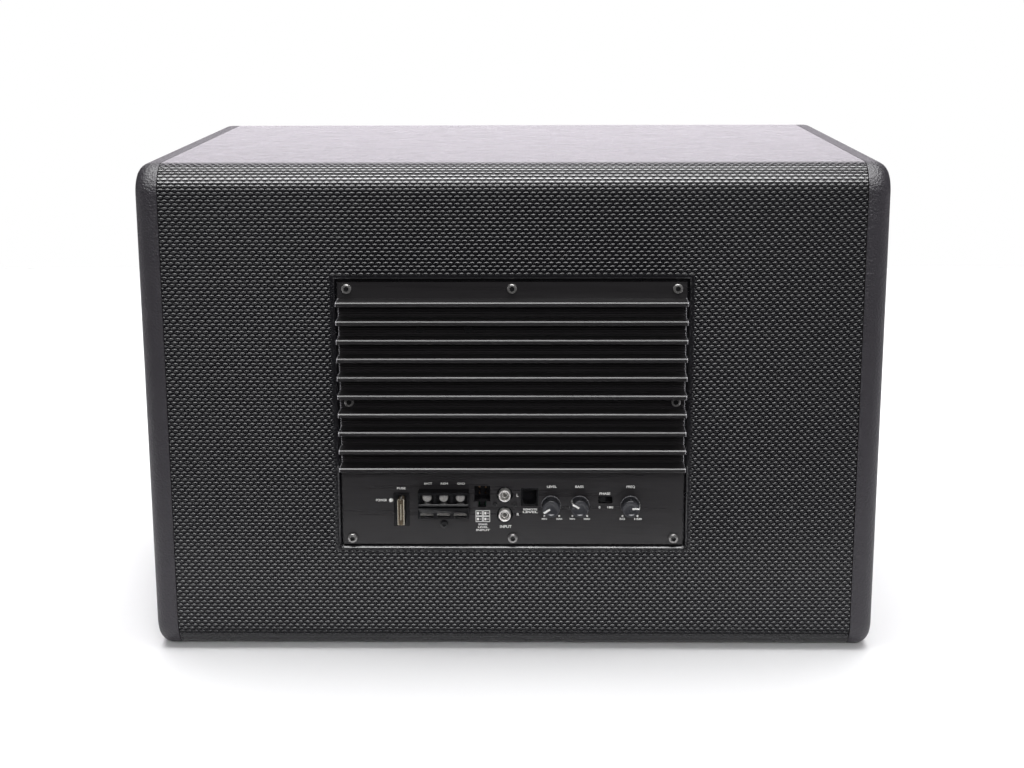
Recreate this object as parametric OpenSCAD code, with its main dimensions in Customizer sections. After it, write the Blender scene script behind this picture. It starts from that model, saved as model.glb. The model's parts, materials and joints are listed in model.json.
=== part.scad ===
// Powered car subwoofer: a wrapped wooden box with moulded end caps, a finned plate amplifier let into one
// long face and a ported ten-inch woofer in the other. Millimetres, +Z up.
// X runs along the box, -Y points out of the amplifier face and +Y out of the woofer face.
// The origin is the centre of the base, on the surface that the box stands on.

/* [Cabinet] */
// Overall width across both end caps
body_w = 502; // [440:2:700]
// Overall depth from the amplifier face to the woofer face
body_d = 348; // [320:2:450]
// Overall height
body_h = 340; // [320:2:450]
// Radius of the four long edges
edge_r = 20; // [18:1:30]
// Thickness of the wooden panels
panel_t = 15; // [13:1:20]
// Thickness of the vinyl wrap with its embossing
wrap_t = 1.2; // [0.8:0.1:2]
// Width of each end cap along the box
cap_w = 16; // [12:1:25]
// Wall thickness of the end caps
cap_wall = 3; // [2:0.5:5]
// Rounding of the outer rim of the end caps
cap_round = 10; // [3:0.5:10]
// Open seam between an end cap and the wrap
seam = 0.5; // [0.3:0.1:1]

/* [Amplifier plate] */
// Width of the plate
plate_w = 234; // [225:1:300]
// Height of the plate
plate_h = 183.5; // [183:0.5:230]
// Thickness of the plate
plate_t = 4; // [3:0.5:6]
// How far the plate's face lies below the cabinet's face
plate_drop = 1; // [0:0.5:2]
// Gap round the plate inside its recess
plate_gap = 1.2; // [0.5:0.1:3]
// Flare of the recess at the cabinet's face
recess_flare = 3.5; // [1:0.5:6]
// Thickness of the foam gasket under the plate
gasket_t = 1.5; // [1:0.5:3]
// Width of the wooden ledge that the plate is screwed to
ledge_w = 10; // [8:0.5:10]
// Number of cooling fins
fin_count = 10; // [4:1:10]
// Spacing of the cooling fins
fin_pitch = 12.65; // [10:0.05:12.65]
// Thickness of a fin
fin_t = 3; // [2:0.1:4]
// Height of a fin above the plate
fin_h = 16; // [8:1:25]
// Width of the plain flange above the top fin
flange_h = 11.1; // [9:0.1:14]

/* [Controls] */
// Height of the row of knobs above the plate's lower edge
knob_up = 28.5; // [26:0.5:32]
// Place of the level knob along the plate
level_x = 26.4; // [24:0.2:28]
// Place of the bass knob along the plate
bass_x = 46; // [44:0.2:47]
// Place of the frequency knob along the plate
freq_x = 80.8; // [80:0.2:90]
// Diameter of a knob's skirt
knob_d = 13.4; // [11:0.2:15]
// Diameter of a knob's end
knob_end_d = 11.6; // [9:0.2:13]
// Height of a knob
knob_h = 10.5; // [8:0.5:16]
// Diameter of a knob's shaft
shaft_d = 6; // [4:0.5:6]
// Place of the phase switch along the plate
phase_x = 63.8; // [62:0.2:65]
// Travel of the phase switch
phase_travel = 4; // [2:0.5:4]

/* [Connectors] */
// Place of the power light along the plate
led_x = -83.8; // [-100:0.2:-83]
// Place of the fuse along the plate
fuse_x = -76.5; // [-78:0.2:-74]
// Place of the terminal block along the plate
terminal_x = -47.3; // [-50:0.1:-45]
// Spacing of the three terminals
terminal_pitch = 11.4; // [9:0.1:12]
// Place of the high-level input header along the plate
header_x = -20.9; // [-22:0.1:-20.7]
// Place of the phono jacks along the plate
phono_x = -5.5; // [-5.7:0.1:-4.5]
// Spacing of the two phono jacks
phono_pitch = 14.1; // [13:0.1:16]
// Outer diameter of a phono jack's shell
phono_d = 8.3; // [8:0.1:8.5]
// Place of the remote-control jack along the plate
remote_x = 11.6; // [10:0.1:12]

/* [Woofer] */
// Outer diameter of the woofer's frame
woofer_d = 262; // [255:1:280]
// Place of the woofer along the box
woofer_x = -75; // [-85:1:-70]
// Travel of the cone each way
cone_travel = 8; // [4:0.5:10]
// Inner diameter of the port tube
port_d = 70; // [50:1:76]
// Length of the port tube
port_len = 150; // [80:5:170]
// Place of the port along the box
port_x = 160; // [150:1:170]

/* [Hidden] */

$fn = 48;

// Distance that a cutter runs past what it cuts
over = 1;
// Gap between a thread and the hole that it bites in
thread_gap = 0.05;
// Gap between a shaft and the bore that it turns in
running_gap = 0.05;
// Gap between a part and the cut-out that it passes through
fit_gap = 0.3;

// The wooden tube and what closes it
shell_t = wrap_t + panel_t;
tube_w = body_w - 2 * (cap_w + seam);
inner_d = body_d - 2 * shell_t;
inner_h = body_h - 2 * shell_t;
side_y = inner_d / 2;
peg_r = 4;
peg_boss_r = 7;
peg_depth = 8;
peg_inset = 45;
// How far the pocket of an end cap runs past the start of its rounded rim
rim_reach = 2;

// The amplifier's plate and its recess, from the amplifier face inwards
face_y = -body_d / 2;
plate_y = face_y + plate_drop;
plate_z = body_h / 2 - plate_h / 2;
recess_w = plate_w + 2 * plate_gap;
recess_h = plate_h + 2 * plate_gap;
recess_depth = plate_drop + plate_t + gasket_t;
opening_w = plate_w - 2 * ledge_w;
opening_h = plate_h - 2 * ledge_w;
fin_chamfer = 0.7;
ridge_count = 6;
ridge_h = 0.7;

// The plate's screws
screw_r = 1.9;
screw_len = 14;
screw_head_r = 3.4;
screw_head_h = 2.6;
screw_inset_x = 6.2;
screw_inset_z = 4.4;
side_gap_number = 6;
side_screw_up = plate_h - flange_h - (side_gap_number - 0.5) * fin_pitch - fin_t / 2;
plate_hole_r = screw_r + 0.2;
plate_screw_spots = [
    for (x = [-1, 0, 1], top = [0, 1])
        [x * (plate_w / 2 - screw_inset_x), top == 1 ? plate_h - screw_inset_z : screw_inset_z],
    for (x = [-1, 1]) [x * (plate_w / 2 - screw_inset_x), side_screw_up]
];

// The electronics behind the plate
cover_t = 1;
cover_gap = 1;
cover_depth = 58;
board_t = 1.6;
board_gap = 14;
board_w = opening_w - 12;
board_h = opening_h - 12;
board_face = -plate_t - board_gap;
board_back = board_face - board_t;
board_up = plate_h / 2;
spacer_r = 3;
spacer_inset = 5;
clamp_x = -45.7;
clamp_screw_pitch = 32;
clamp_gap_number = 2;
clamp_up = plate_h - flange_h - (clamp_gap_number - 0.5) * fin_pitch - fin_t / 2;
clamp_w = 44;
clamp_h = 9;
clamp_t = 3;
clamp_screw_r = 1.4;
clamp_head_r = 2.7;
transistor_w = 10.2;
transistor_h = 15.5;
transistor_t = 4.5;
transistor_pitch = 11;
capacitor_r = 9;
capacitor_h = 32;
capacitor_pitch = 22;
toroid_r = 26;
toroid_hole_r = 10;
toroid_h = 24;

// The knobs and the phase switch
pot_w = 10.5;
pot_h = 12;
pot_t = 7;
bushing_r = shaft_d / 2 + 0.6;
knob_lift = 1;
shaft_end = -plate_t - 4;
knob_dish = 1;
knob_grip_r = knob_end_d / 2 - 1.6;
slot_w = 9.6;
slot_h = 5;
switch_w = 15;
switch_h = 8;
switch_t = 6.5;
slider_w = 4.2;
slider_h = 3.4;
slider_base_w = 6.6;
slider_base_h = 4.4;
slider_base_t = 1.8;
slider_gap = 0.2;
switch_lip = 1;
phase_up = 31.8;
led_up = 31.6;
led_r = 1.5;

// The fuse and its holder
fuse_up = 25;
fuse_w = 19.1;
fuse_t = 5.1;
fuse_out = 8;
fuse_in = 5;
blade_w = 5.2;
blade_t = 0.7;
blade_len = 8;
blade_pitch = 13.4;
holder_w = 9;
holder_h = 21.6;
bezel = 0.9;

// The terminal block
terminal_w = 3 * terminal_pitch + 0.4;
terminal_h = 18.4;
terminal_up = 30;
terminal_out = 9;
pocket_w = 9.6;
pocket_h = 6.4;
pocket_deep = 8;
pocket_up = 4.2;
entry_h = 4.6;
entry_deep = 9;
entry_up = -6;
terminal_screw_r = 3.1;
terminal_tab_w = 10;
terminal_tab_t = 3.5;
terminal_tab_drop = 6.5;

// The phono jacks
phono_up = 28.3;
phono_out = 3.5;
phono_in = -10;
phono_wall = 1.1;
phono_root = 0.3;
phono_hole_r = phono_d / 2 + 1.5;
phono_box_w = 13;
phono_box_h = 28;
// The two small screws that hold the phono housing, each in a tab at its side
jack_screw_x = 6.7;
jack_screw_r = 0.9;
jack_head_r = 1.7;
jack_tab_w = 8.2;
jack_tab_h = 5;
jack_tab_t = 3.5;
contact_r = 2.1;
contact_bore_r = 1.6;

// The header and the remote jack
header_up = 36.2;
header_w = 11;
header_wall = 1.2;
header_deep = 10;
header_pitch = 4.2;
pin_w = 1.1;
pin_len = 5;
latch_w = 5.4;
latch_h = 4.2;
remote_up = 33.8;
remote_w = 9.8;
remote_h = 10.6;
remote_wall = 1;
remote_deep = 12;
remote_round = 3;

// The woofer, with z counted outwards from the woofer face
woofer_y = body_d / 2;
woofer_z = body_h / 2;
woofer_r = woofer_d / 2;
frame_t = 4;
woofer_seat = -frame_t - gasket_t;
woofer_hole_r = 118;
woofer_screw_ring = woofer_r - 6.5;
woofer_screw_count = 8;
woofer_screw_r = 2.4;
woofer_screw_len = 15;
ledge_z = -2.5;
basket_r = 115.5;
basket_wall = 2.5;
basket_bend = -24;
basket_foot = -78;
basket_foot_r = 70;
window_count = 6;
window_w = 62;
window_h = 34;
spider_z = -66;
spider_t = 0.8;
spider_r = 76;
spider_wave = 2;
spider_waves = 5;
rim_r = 93;
lip_t = 1;
roll_r = 7;
roll_t = 1;
roll_mid = rim_r + roll_r;
surround_r = 117.5;
coil_r = 25;
former_t = 0.6;
former_top = -42;
cone_t = 1.2;
cone_neck = -45;
gap_h = 8;
winding_t = 1.4;
winding_h = gap_h + 2 * cone_travel;
former_tail = 2;
former_end = basket_foot - (gap_h + winding_h) / 2 - former_tail;
motor_r = 60;
magnet_r = 66;
magnet_hole_r = 34;
magnet_h = basket_foot - gap_h - former_end + cone_travel + former_tail;
motor_plate_t = 8;
pole_r = 23.9;
vent_r = 9;
dust_r = 36;
dust_h = 12;

// The port, with z counted as for the woofer
port_wall = 2.5;
port_flare = 15.5;
port_lip_t = 2.5;
port_lip = 5;
port_neck = 45.5;
port_gap = 0.4;

// Outlines

module rounded_outline(w, h, r) {
    square([w - 2 * r, h], center = true);
    square([w, h - 2 * r], center = true);
    for (x = [-1, 1], y = [-1, 1])
        translate([x * (w / 2 - r), y * (h / 2 - r)]) circle(r);
}

// Extrudes an outline drawn in Y and Z along X, from x0 to x1
module along_x(x0, x1) {
    translate([x0, 0, 0]) rotate([90, 0, 90]) linear_extrude(x1 - x0) children();
}

// The outline of the wooden tube, or of the wrap round it
module tube_outline(outset = 0) {
    translate([0, body_h / 2])
        rounded_outline(body_d - 2 * (wrap_t - outset), body_h - 2 * (wrap_t - outset), edge_r - wrap_t + outset);
}

// Places children on the plate's face: x along it, y up from its lower edge, z outwards
module on_plate(x = 0, up = 0) {
    translate([x, plate_y, plate_z + up]) rotate([90, 0, 0]) children();
}

// Places children on the woofer face, z outwards
module on_baffle(x) {
    translate([x, woofer_y, woofer_z]) rotate([-90, 0, 0]) children();
}

module block(w, h, z0, z1) {
    translate([-w / 2, -h / 2, z0]) cube([w, h, z1 - z0]);
}

module rod(r, z0, z1) {
    translate([0, 0, z0]) cylinder(r = r, h = z1 - z0);
}

module ring(r_out, r_in, z0, z1) {
    difference() {
        rod(r_out, z0, z1);
        rod(r_in, z0 - over, z1 + over);
    }
}

// The recess for the amplifier, grown by a lining's thickness and flared at the cabinet's face
module recess(grow = 0, depth = recess_depth) {
    w = recess_w / 2 + grow;
    h = recess_h / 2 + grow;
    flare_y = face_y + recess_flare;
    w_out = w + recess_flare + over;
    h_out = h + recess_flare + over;
    intersection() {
        translate([0, 0, body_h / 2 - h_out]) linear_extrude(2 * h_out)
            polygon([
                [-w, face_y + depth], [w, face_y + depth], [w, flare_y],
                [w_out, face_y - over], [-w_out, face_y - over], [-w, flare_y]
            ]);
        along_x(-w_out, w_out) translate([0, body_h / 2])
            polygon([
                [face_y + depth, -h], [face_y + depth, h], [flare_y, h],
                [face_y - over, h_out], [face_y - over, -h_out], [flare_y, -h]
            ]);
    }
}

module amp_opening() {
    translate([-opening_w / 2, face_y - over, body_h / 2 - opening_h / 2])
        cube([opening_w, shell_t + 2 * over, opening_h]);
}

module plate_screw_holes(r, z0, z1) {
    for (spot = plate_screw_spots) on_plate(spot[0], spot[1]) rod(r, z0, z1);
}

module woofer_screw_holes(r, z0, z1) {
    on_baffle(woofer_x)
        for (i = [0:woofer_screw_count - 1]) rotate(360 * (i + 0.5) / woofer_screw_count)
            translate([woofer_screw_ring, 0, 0]) rod(r, z0, z1);
}

module peg_spots() {
    for (y = [-1, 1], z = [-1, 1])
        translate([0, y * (body_d / 2 - peg_inset), body_h / 2 + z * (body_h / 2 - peg_inset)]) children();
}

// Cabinet

module tube_slab(y0, y1, z0, z1) {
    intersection() {
        along_x(-tube_w / 2, tube_w / 2) tube_outline();
        translate([-body_w / 2, y0, z0]) cube([body_w, y1 - y0, z1 - z0]);
    }
}

module top_panel() {
    color("burlywood") tube_slab(-body_d, body_d, body_h - shell_t, body_h);
}

module bottom_panel() {
    color("burlywood") tube_slab(-body_d, body_d, 0, shell_t);
}

module amp_panel() {
    color("burlywood") difference() {
        tube_slab(-body_d, -side_y, shell_t, body_h - shell_t);
        recess(wrap_t);
        amp_opening();
        plate_screw_holes(screw_r + thread_gap, -panel_t - shell_t, 0);
    }
}

module baffle() {
    color("burlywood") difference() {
        tube_slab(side_y, body_d, shell_t, body_h - shell_t);
        on_baffle(woofer_x) {
            rod(woofer_r + wrap_t, woofer_seat, over);
            rod(woofer_hole_r, -shell_t - over, over);
        }
        on_baffle(port_x) rod(port_neck, -shell_t - over, over);
        woofer_screw_holes(woofer_screw_r + thread_gap, -shell_t - over, 0);
    }
}

module side_panel(side) {
    x0 = tube_w / 2 - panel_t;
    color("burlywood") mirror([side < 0 ? 1 : 0, 0, 0]) difference() {
        translate([x0, -inner_d / 2, shell_t]) cube([panel_t, inner_d, inner_h]);
        peg_spots() translate([tube_w / 2 - peg_depth - over, 0, 0]) rotate([0, 90, 0])
            cylinder(r = peg_r + thread_gap, h = peg_depth + 2 * over);
    }
}

module vinyl_wrap() {
    color("#26262a") difference() {
        union() {
            difference() {
                along_x(-tube_w / 2, tube_w / 2) tube_outline(wrap_t);
                along_x(-body_w, body_w) tube_outline();
            }
            intersection() {
                recess(wrap_t);
                translate([-body_w / 2, face_y, 0]) cube([body_w, recess_depth, body_h]);
            }
            on_baffle(woofer_x) ring(woofer_r + wrap_t, woofer_r + wrap_t / 2, woofer_seat, 0);
        }
        recess(0, recess_depth + over);
        on_baffle(woofer_x) rod(woofer_r + wrap_t / 2, -shell_t, over);
        on_baffle(port_x) rod(port_neck, -shell_t, over);
    }
}

// One rounded corner of an end cap, with x outwards
module cap_corner() {
    rotate([0, 90, 0]) rotate_extrude($fn = 32) {
        square([edge_r - cap_round, cap_w]);
        square([edge_r, cap_w - cap_round]);
        intersection() {
            translate([edge_r - cap_round, cap_w - cap_round]) circle(cap_round);
            square([edge_r, cap_w]);
        }
    }
}

module end_cap(side) {
    x0 = body_w / 2 - cap_w;
    pocket = cap_w - max(cap_wall, cap_round - rim_reach);
    color("#4a4a50") mirror([side < 0 ? 1 : 0, 0, 0]) {
        difference() {
            hull() for (y = [-1, 1], z = [-1, 1])
                translate([x0, y * (body_d / 2 - edge_r), body_h / 2 + z * (body_h / 2 - edge_r)]) cap_corner();
            along_x(x0 - over, x0 + pocket) translate([0, body_h / 2])
                rounded_outline(body_d - 2 * cap_wall, body_h - 2 * cap_wall, edge_r - cap_wall);
        }
        peg_spots() {
            translate([tube_w / 2, 0, 0]) rotate([0, 90, 0]) cylinder(r = peg_boss_r, h = seam + pocket + over);
            translate([tube_w / 2 - peg_depth, 0, 0]) rotate([0, 90, 0]) cylinder(r = peg_r, h = cap_w);
        }
    }
}

module damping_pad() {
    pad_t = 20;
    pad_margin = 30;
    color("#8a8a86") translate([-tube_w / 2 + panel_t + pad_margin, -inner_d / 2 + pad_margin, body_h - shell_t - pad_t])
        cube([tube_w - 2 * (panel_t + pad_margin), inner_d - 2 * pad_margin, pad_t]);
}

// Amplifier plate

function fin_bottom(i) = plate_h - flange_h - i * fin_pitch - fin_t;

// The front outline of one fin, from its lower root to its upper root
function fin_points(z) = [
    [0, z], [fin_h - fin_chamfer, z], [fin_h, z + fin_chamfer],
    [fin_h, z + fin_t - fin_chamfer], [fin_h - fin_chamfer, z + fin_t], [0, z + fin_t]
];

// Fine ridges on the floor between two fins
function ridge_points(z0, z1) = [
    for (i = [1:ridge_count])
        each [[0, z0 + (i - 0.8) * (z1 - z0) / ridge_count], [ridge_h, z0 + (i - 0.5) * (z1 - z0) / ridge_count],
            [0, z0 + (i - 0.2) * (z1 - z0) / ridge_count]]
];

module heat_sink_profile() {
    polygon([
        [-plate_t, 0], [0, 0],
        for (i = [fin_count - 1:-1:0]) each [
            each fin_points(fin_bottom(i)),
            each i > 0 ? ridge_points(fin_bottom(i) + fin_t, fin_bottom(i - 1)) : []
        ],
        [0, plate_h], [-plate_t, plate_h]
    ]);
}

module heat_sink() {
    color("#1c1c1f") difference() {
        translate([0, plate_y, plate_z]) mirror([0, 1, 0]) along_x(-plate_w / 2, plate_w / 2) heat_sink_profile();
        plate_screw_holes(plate_hole_r, -plate_t - over, over);
        plate_screw_holes(screw_head_r + fit_gap, 0, ridge_h + over);
        for (side = [-1, 1]) on_plate(clamp_x + side * clamp_screw_pitch / 2, clamp_up) {
            rod(clamp_screw_r + 0.2, -plate_t - over, over);
            rod(clamp_head_r + fit_gap, 0, ridge_h + over);
        }
        for (x = [level_x, bass_x, freq_x]) on_plate(x, knob_up) rod(bushing_r + 0.1, -plate_t - over, over);
        on_plate(phase_x, phase_up) block(slot_w, slot_h, -plate_t - over, over);
        on_plate(led_x, led_up) rod(led_r + 0.1, -plate_t - over, over);
        on_plate(fuse_x, fuse_up) block(holder_w + fit_gap, holder_h + fit_gap, -plate_t - over, over);
        on_plate(terminal_x, terminal_up)
            block(terminal_w + fit_gap, terminal_h + fit_gap, -plate_t - over, over);
        on_plate(terminal_x, terminal_up - terminal_h / 2 - terminal_tab_drop)
            rod(clamp_screw_r + 0.2, -plate_t - over, over);
        on_plate(header_x, header_up) {
            block(header_w, header_w, -plate_t - over, over);
            translate([0, -header_w / 2, 0]) block(latch_w, 2 * latch_h, -plate_t - over, over);
        }
        for (side = [-1, 1]) on_plate(phono_x, phono_up + side * phono_pitch / 2)
            rod(phono_hole_r, -plate_t - over, over);
        for (side = [-1, 1]) on_plate(phono_x + side * jack_screw_x, phono_up)
            rod(jack_screw_r + 0.2, -plate_t - over, over);
        on_plate(remote_x, remote_up)
            block(remote_w + 2 * remote_wall + fit_gap, remote_h + 2 * remote_wall + fit_gap, -plate_t - over, over);
    }
}

module plate_gasket() {
    color("#141414") difference() {
        on_plate(0, plate_h / 2) block(plate_w, plate_h, -plate_t - gasket_t, -plate_t);
        on_plate(0, plate_h / 2) block(opening_w, opening_h, -plate_t - gasket_t - over, -plate_t + over);
        plate_screw_holes(plate_hole_r, -plate_t - gasket_t - over, 0);
    }
}

// A domed screw with a hexagonal socket, its head on z = 0
module socket_screw(r, len, head_r, head_h) {
    difference() {
        union() {
            rod(r, -len, 0);
            rotate_extrude() {
                square([head_r, head_h / 2]);
                intersection() {
                    translate([head_r - head_h / 2, head_h / 2]) circle(head_h / 2);
                    square([head_r, head_h]);
                }
                square([head_r - head_h / 2, head_h]);
            }
        }
        translate([0, 0, head_h * 0.4]) cylinder(r = head_r * 0.52, h = head_h, $fn = 6);
    }
}

module plate_screws() {
    color("#77777c")
        for (spot = plate_screw_spots) on_plate(spot[0], spot[1])
            socket_screw(screw_r, screw_len, screw_head_r, screw_head_h);
}

module clamp_screws() {
    color("#2c2c30")
        for (side = [-1, 1]) on_plate(clamp_x + side * clamp_screw_pitch / 2, clamp_up)
            socket_screw(clamp_screw_r, plate_t + transistor_t + clamp_t, clamp_head_r, 2);
}

// Parts behind the plate

module transistors() {
    lead_w = 0.9;
    lead_drop = 4;
    color("#18181a")
        for (side = [-1, 1]) on_plate(clamp_x + side * transistor_pitch / 2, clamp_up) {
            block(transistor_w, transistor_h, -plate_t - transistor_t, -plate_t);
            for (i = [-1:1]) translate([i * 2.54, 0, 0]) {
                translate([0, -transistor_h / 2 - lead_drop / 2 + 0.1, 0])
                    block(lead_w, lead_drop, -plate_t - 2.8, -plate_t - 2.2);
                translate([0, -transistor_h / 2 - lead_drop + 0.4, 0])
                    block(lead_w, lead_w, board_face, -plate_t - 2.2);
            }
        }
}

module transistor_clamp() {
    color("silver") on_plate(clamp_x, clamp_up) difference() {
        block(clamp_w, clamp_h, -plate_t - transistor_t - clamp_t, -plate_t - transistor_t);
        for (side = [-1, 1]) translate([side * clamp_screw_pitch / 2, 0, 0])
            rod(clamp_screw_r + thread_gap, -plate_t - transistor_t - clamp_t - over, 0);
    }
}

module circuit_board() {
    color("#2d5a34") on_plate(0, board_up) difference() {
        block(board_w, board_h, board_back, board_face);
        for (x = [-1, 1], y = [-1, 1])
            translate([x * (board_w / 2 - spacer_inset), y * (board_h / 2 - spacer_inset), 0])
                rod(1.6, board_back - over, board_face + over);
    }
}

module board_spacers() {
    color("goldenrod") on_plate(0, board_up)
        for (x = [-1, 1], y = [-1, 1])
            translate([x * (board_w / 2 - spacer_inset), y * (board_h / 2 - spacer_inset), 0]) {
                rod(spacer_r, board_face, -plate_t);
                rod(1.5, board_back - 2, board_face);
                rod(spacer_r, board_back - 2, board_back);
            }
}

module transformer() {
    color("#c9b458") on_plate(52, board_up + 38) rotate_extrude() {
        translate([toroid_hole_r, board_back - toroid_h]) rounded_box_profile(toroid_r - toroid_hole_r, toroid_h, 5);
    }
}

// A rectangle with its corner at the origin and round corners
module rounded_box_profile(w, h, r) {
    translate([w / 2, h / 2]) rounded_outline(w, h, r);
}

module capacitors() {
    color("#1f2a44")
        for (i = [-1.5:1.5]) on_plate(-44 + i * capacitor_pitch, board_up + 34)
            rotate_extrude() {
                translate([0, board_back - capacitor_h]) square([capacitor_r - 1, capacitor_h]);
                translate([0, board_back - capacitor_h + 1]) square([capacitor_r, capacitor_h - 1]);
            }
}

module amp_cover() {
    w = opening_w - 2 * cover_gap;
    h = opening_h - 2 * cover_gap;
    color("#9a9aa0") on_plate(0, board_up) difference() {
        block(w, h, -cover_depth, -plate_t);
        block(w - 2 * cover_t, h - 2 * cover_t, -cover_depth + cover_t, over);
    }
}

// Knobs and switch

module pot(x) {
    color("#6d6f73") on_plate(x, knob_up) difference() {
        union() {
            block(pot_w, pot_h, -plate_t - pot_t, -plate_t);
            rod(bushing_r, -plate_t - over, knob_lift - 0.3);
            for (i = [-1:1]) translate([i * 3, 0, 0]) rod(0.5, board_face, -plate_t - pot_t + over);
        }
        rod(shaft_d / 2 + running_gap, shaft_end - 0.5, knob_lift);
    }
}

module knob(x) {
    color("#2e2e33") on_plate(x, knob_up) {
        rotate_extrude() polygon([
            [0, knob_lift], [knob_d / 2, knob_lift], [knob_d / 2, knob_lift + 1],
            [knob_end_d / 2, knob_lift + knob_h - 0.6], [knob_end_d / 2 - 0.6, knob_lift + knob_h],
            [knob_grip_r, knob_lift + knob_h], [knob_grip_r - 0.8, knob_lift + knob_h - knob_dish],
            [0, knob_lift + knob_h - knob_dish]
        ]);
        rod(shaft_d / 2, shaft_end, knob_lift + over);
    }
}

module phase_switch() {
    cavity_top = -plate_t - switch_lip;
    cavity_w = slider_base_w + phase_travel + 2 * slider_gap;
    color("#3a3a3e") on_plate(phase_x, phase_up) difference() {
        union() {
            block(switch_w, switch_h, -plate_t - switch_t, -plate_t);
            for (i = [-1:1]) translate([i * 4, 0, 0]) rod(0.5, board_face, -plate_t - switch_t + over);
        }
        block(cavity_w, slider_base_h + 2 * slider_gap, cavity_top - slider_base_t - 2 * slider_gap, cavity_top);
        block(slider_w + phase_travel + 2 * slider_gap, slider_h + 2 * slider_gap, cavity_top - over, over);
    }
}

module phase_slider() {
    base_top = -plate_t - switch_lip - slider_gap;
    color("#0f0f10") on_plate(phase_x - phase_travel / 2, phase_up) {
        block(slider_base_w, slider_base_h, base_top - slider_base_t, base_top);
        block(slider_w, slider_h, base_top - over, -0.8);
    }
}

module power_led() {
    color("white") on_plate(led_x, led_up) {
        rod(led_r + 0.4, board_face, -plate_t);
        rotate_extrude() {
            translate([0, -plate_t]) square([led_r, plate_t]);
            intersection() {
                circle(led_r);
                square(led_r);
            }
        }
    }
}

// Fuse

module fuse_holder() {
    color("#131315") on_plate(fuse_x, fuse_up) difference() {
        union() {
            block(holder_w, holder_h, board_face, 0);
            block(holder_w + 2 * bezel, holder_h + 2 * bezel, 0, bezel);
        }
        block(fuse_t + 2 * fit_gap, fuse_w + 2 * fit_gap, -fuse_in - fit_gap, bezel + over);
        for (side = [-1, 1]) translate([0, side * blade_pitch / 2, 0])
            block(blade_t + 0.6, blade_w + 0.6, -fuse_in - blade_len - over, 0);
    }
}

module fuse() {
    notch = 3;
    color("#c8c4bc") on_plate(fuse_x, fuse_up) difference() {
        union() {
            block(fuse_t, fuse_w, fuse_out - 2.5, fuse_out);
            block(fuse_t - 1, fuse_w - 1.6, -fuse_in, fuse_out - 1);
        }
        for (side = [-1, 1]) translate([0, side * blade_pitch / 2, 0]) block(blade_t, blade_w, -fuse_in - over, notch);
    }
}

module fuse_blades() {
    notch = 3;
    color("silver") on_plate(fuse_x, fuse_up)
        for (side = [-1, 1]) translate([0, side * blade_pitch / 2, 0])
            block(blade_t, blade_w, -fuse_in - blade_len, notch);
}

// Terminal block

module terminal_cells() {
    for (i = [-1:1]) translate([i * terminal_pitch, 0, 0]) children();
}

module terminal_block() {
    top_z = terminal_out;
    color("#1a1a1c") on_plate(terminal_x, terminal_up) difference() {
        union() {
            block(terminal_w, terminal_h, board_face, top_z);
            translate([0, -terminal_h / 2 - terminal_tab_drop / 2, 0])
                block(terminal_tab_w, terminal_tab_drop + 4, -plate_t - terminal_tab_t, -plate_t);
        }
        terminal_cells() {
            translate([0, pocket_up, 0]) block(pocket_w, pocket_h, top_z - pocket_deep, top_z + over);
            translate([0, entry_up, 0]) block(pocket_w, entry_h, top_z - entry_deep, top_z + over);
            translate([0, pocket_up, 0]) rod(1.8, top_z - pocket_deep - 8, top_z);
        }
        translate([0, -terminal_h / 2 - terminal_tab_drop, 0])
            rod(clamp_screw_r + thread_gap, -plate_t - terminal_tab_t - over, 0);
    }
}

module terminal_screws() {
    seat = terminal_out - pocket_deep;
    slot = 0.9;
    color("gainsboro") on_plate(terminal_x, terminal_up) terminal_cells() translate([0, pocket_up, 0]) difference() {
        union() {
            rod(terminal_screw_r, seat, seat + 2.4);
            rod(1.7, seat - 7, seat + over);
        }
        block(2 * terminal_screw_r, slot, seat + 1.4, seat + 4);
        block(slot, 2 * terminal_screw_r, seat + 1.4, seat + 4);
    }
}

module terminal_clamps() {
    back = terminal_out - entry_deep;
    color("silver") on_plate(terminal_x, terminal_up) terminal_cells() translate([0, entry_up, 0]) difference() {
        block(pocket_w - 0.4, entry_h - 0.4, back, back + 4.5);
        translate([0, -0.5, 0]) block(pocket_w - 2.4, entry_h - 1.8, back + 0.8, back + 6);
    }
}

module terminal_block_screw() {
    color("#202022") on_plate(terminal_x, terminal_up - terminal_h / 2 - terminal_tab_drop)
        socket_screw(clamp_screw_r, plate_t + terminal_tab_t, clamp_head_r, 1.8);
}

// Phono jacks

module phono_cells() {
    for (side = [-1, 1]) translate([0, side * phono_pitch / 2, 0]) children();
}

module phono_housing() {
    color("#101012") on_plate(phono_x, phono_up) difference() {
        union() {
            block(phono_box_w, phono_box_h, board_face, -plate_t);
            block(2 * jack_tab_w, jack_tab_h, -plate_t - jack_tab_t, -plate_t);
        }
        for (side = [-1, 1]) translate([side * jack_screw_x, 0, 0])
            rod(jack_screw_r + thread_gap, -plate_t - jack_tab_t - over, over);
        phono_cells() difference() {
            rod(phono_d / 2 - phono_root + thread_gap, phono_in, over);
            rod(phono_d / 2 - phono_wall - thread_gap, phono_in - over, -plate_t - 2);
        }
        phono_cells() rod(contact_r + thread_gap, phono_in - 2, 0);
    }
}

module jack_screws() {
    color("#202022") on_plate(phono_x, phono_up) for (side = [-1, 1]) translate([side * jack_screw_x, 0, 0])
        socket_screw(jack_screw_r, plate_t + jack_tab_t, jack_head_r, 1);
}
module phono_shells() {
    color("gainsboro") on_plate(phono_x, phono_up) phono_cells() difference() {
        union() {
            rod(phono_d / 2, -plate_t, phono_out);
            rod(phono_d / 2 - phono_root, phono_in, -plate_t);
        }
        rod(phono_d / 2 - phono_wall, phono_in - over, phono_out + over);
    }
}

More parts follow.
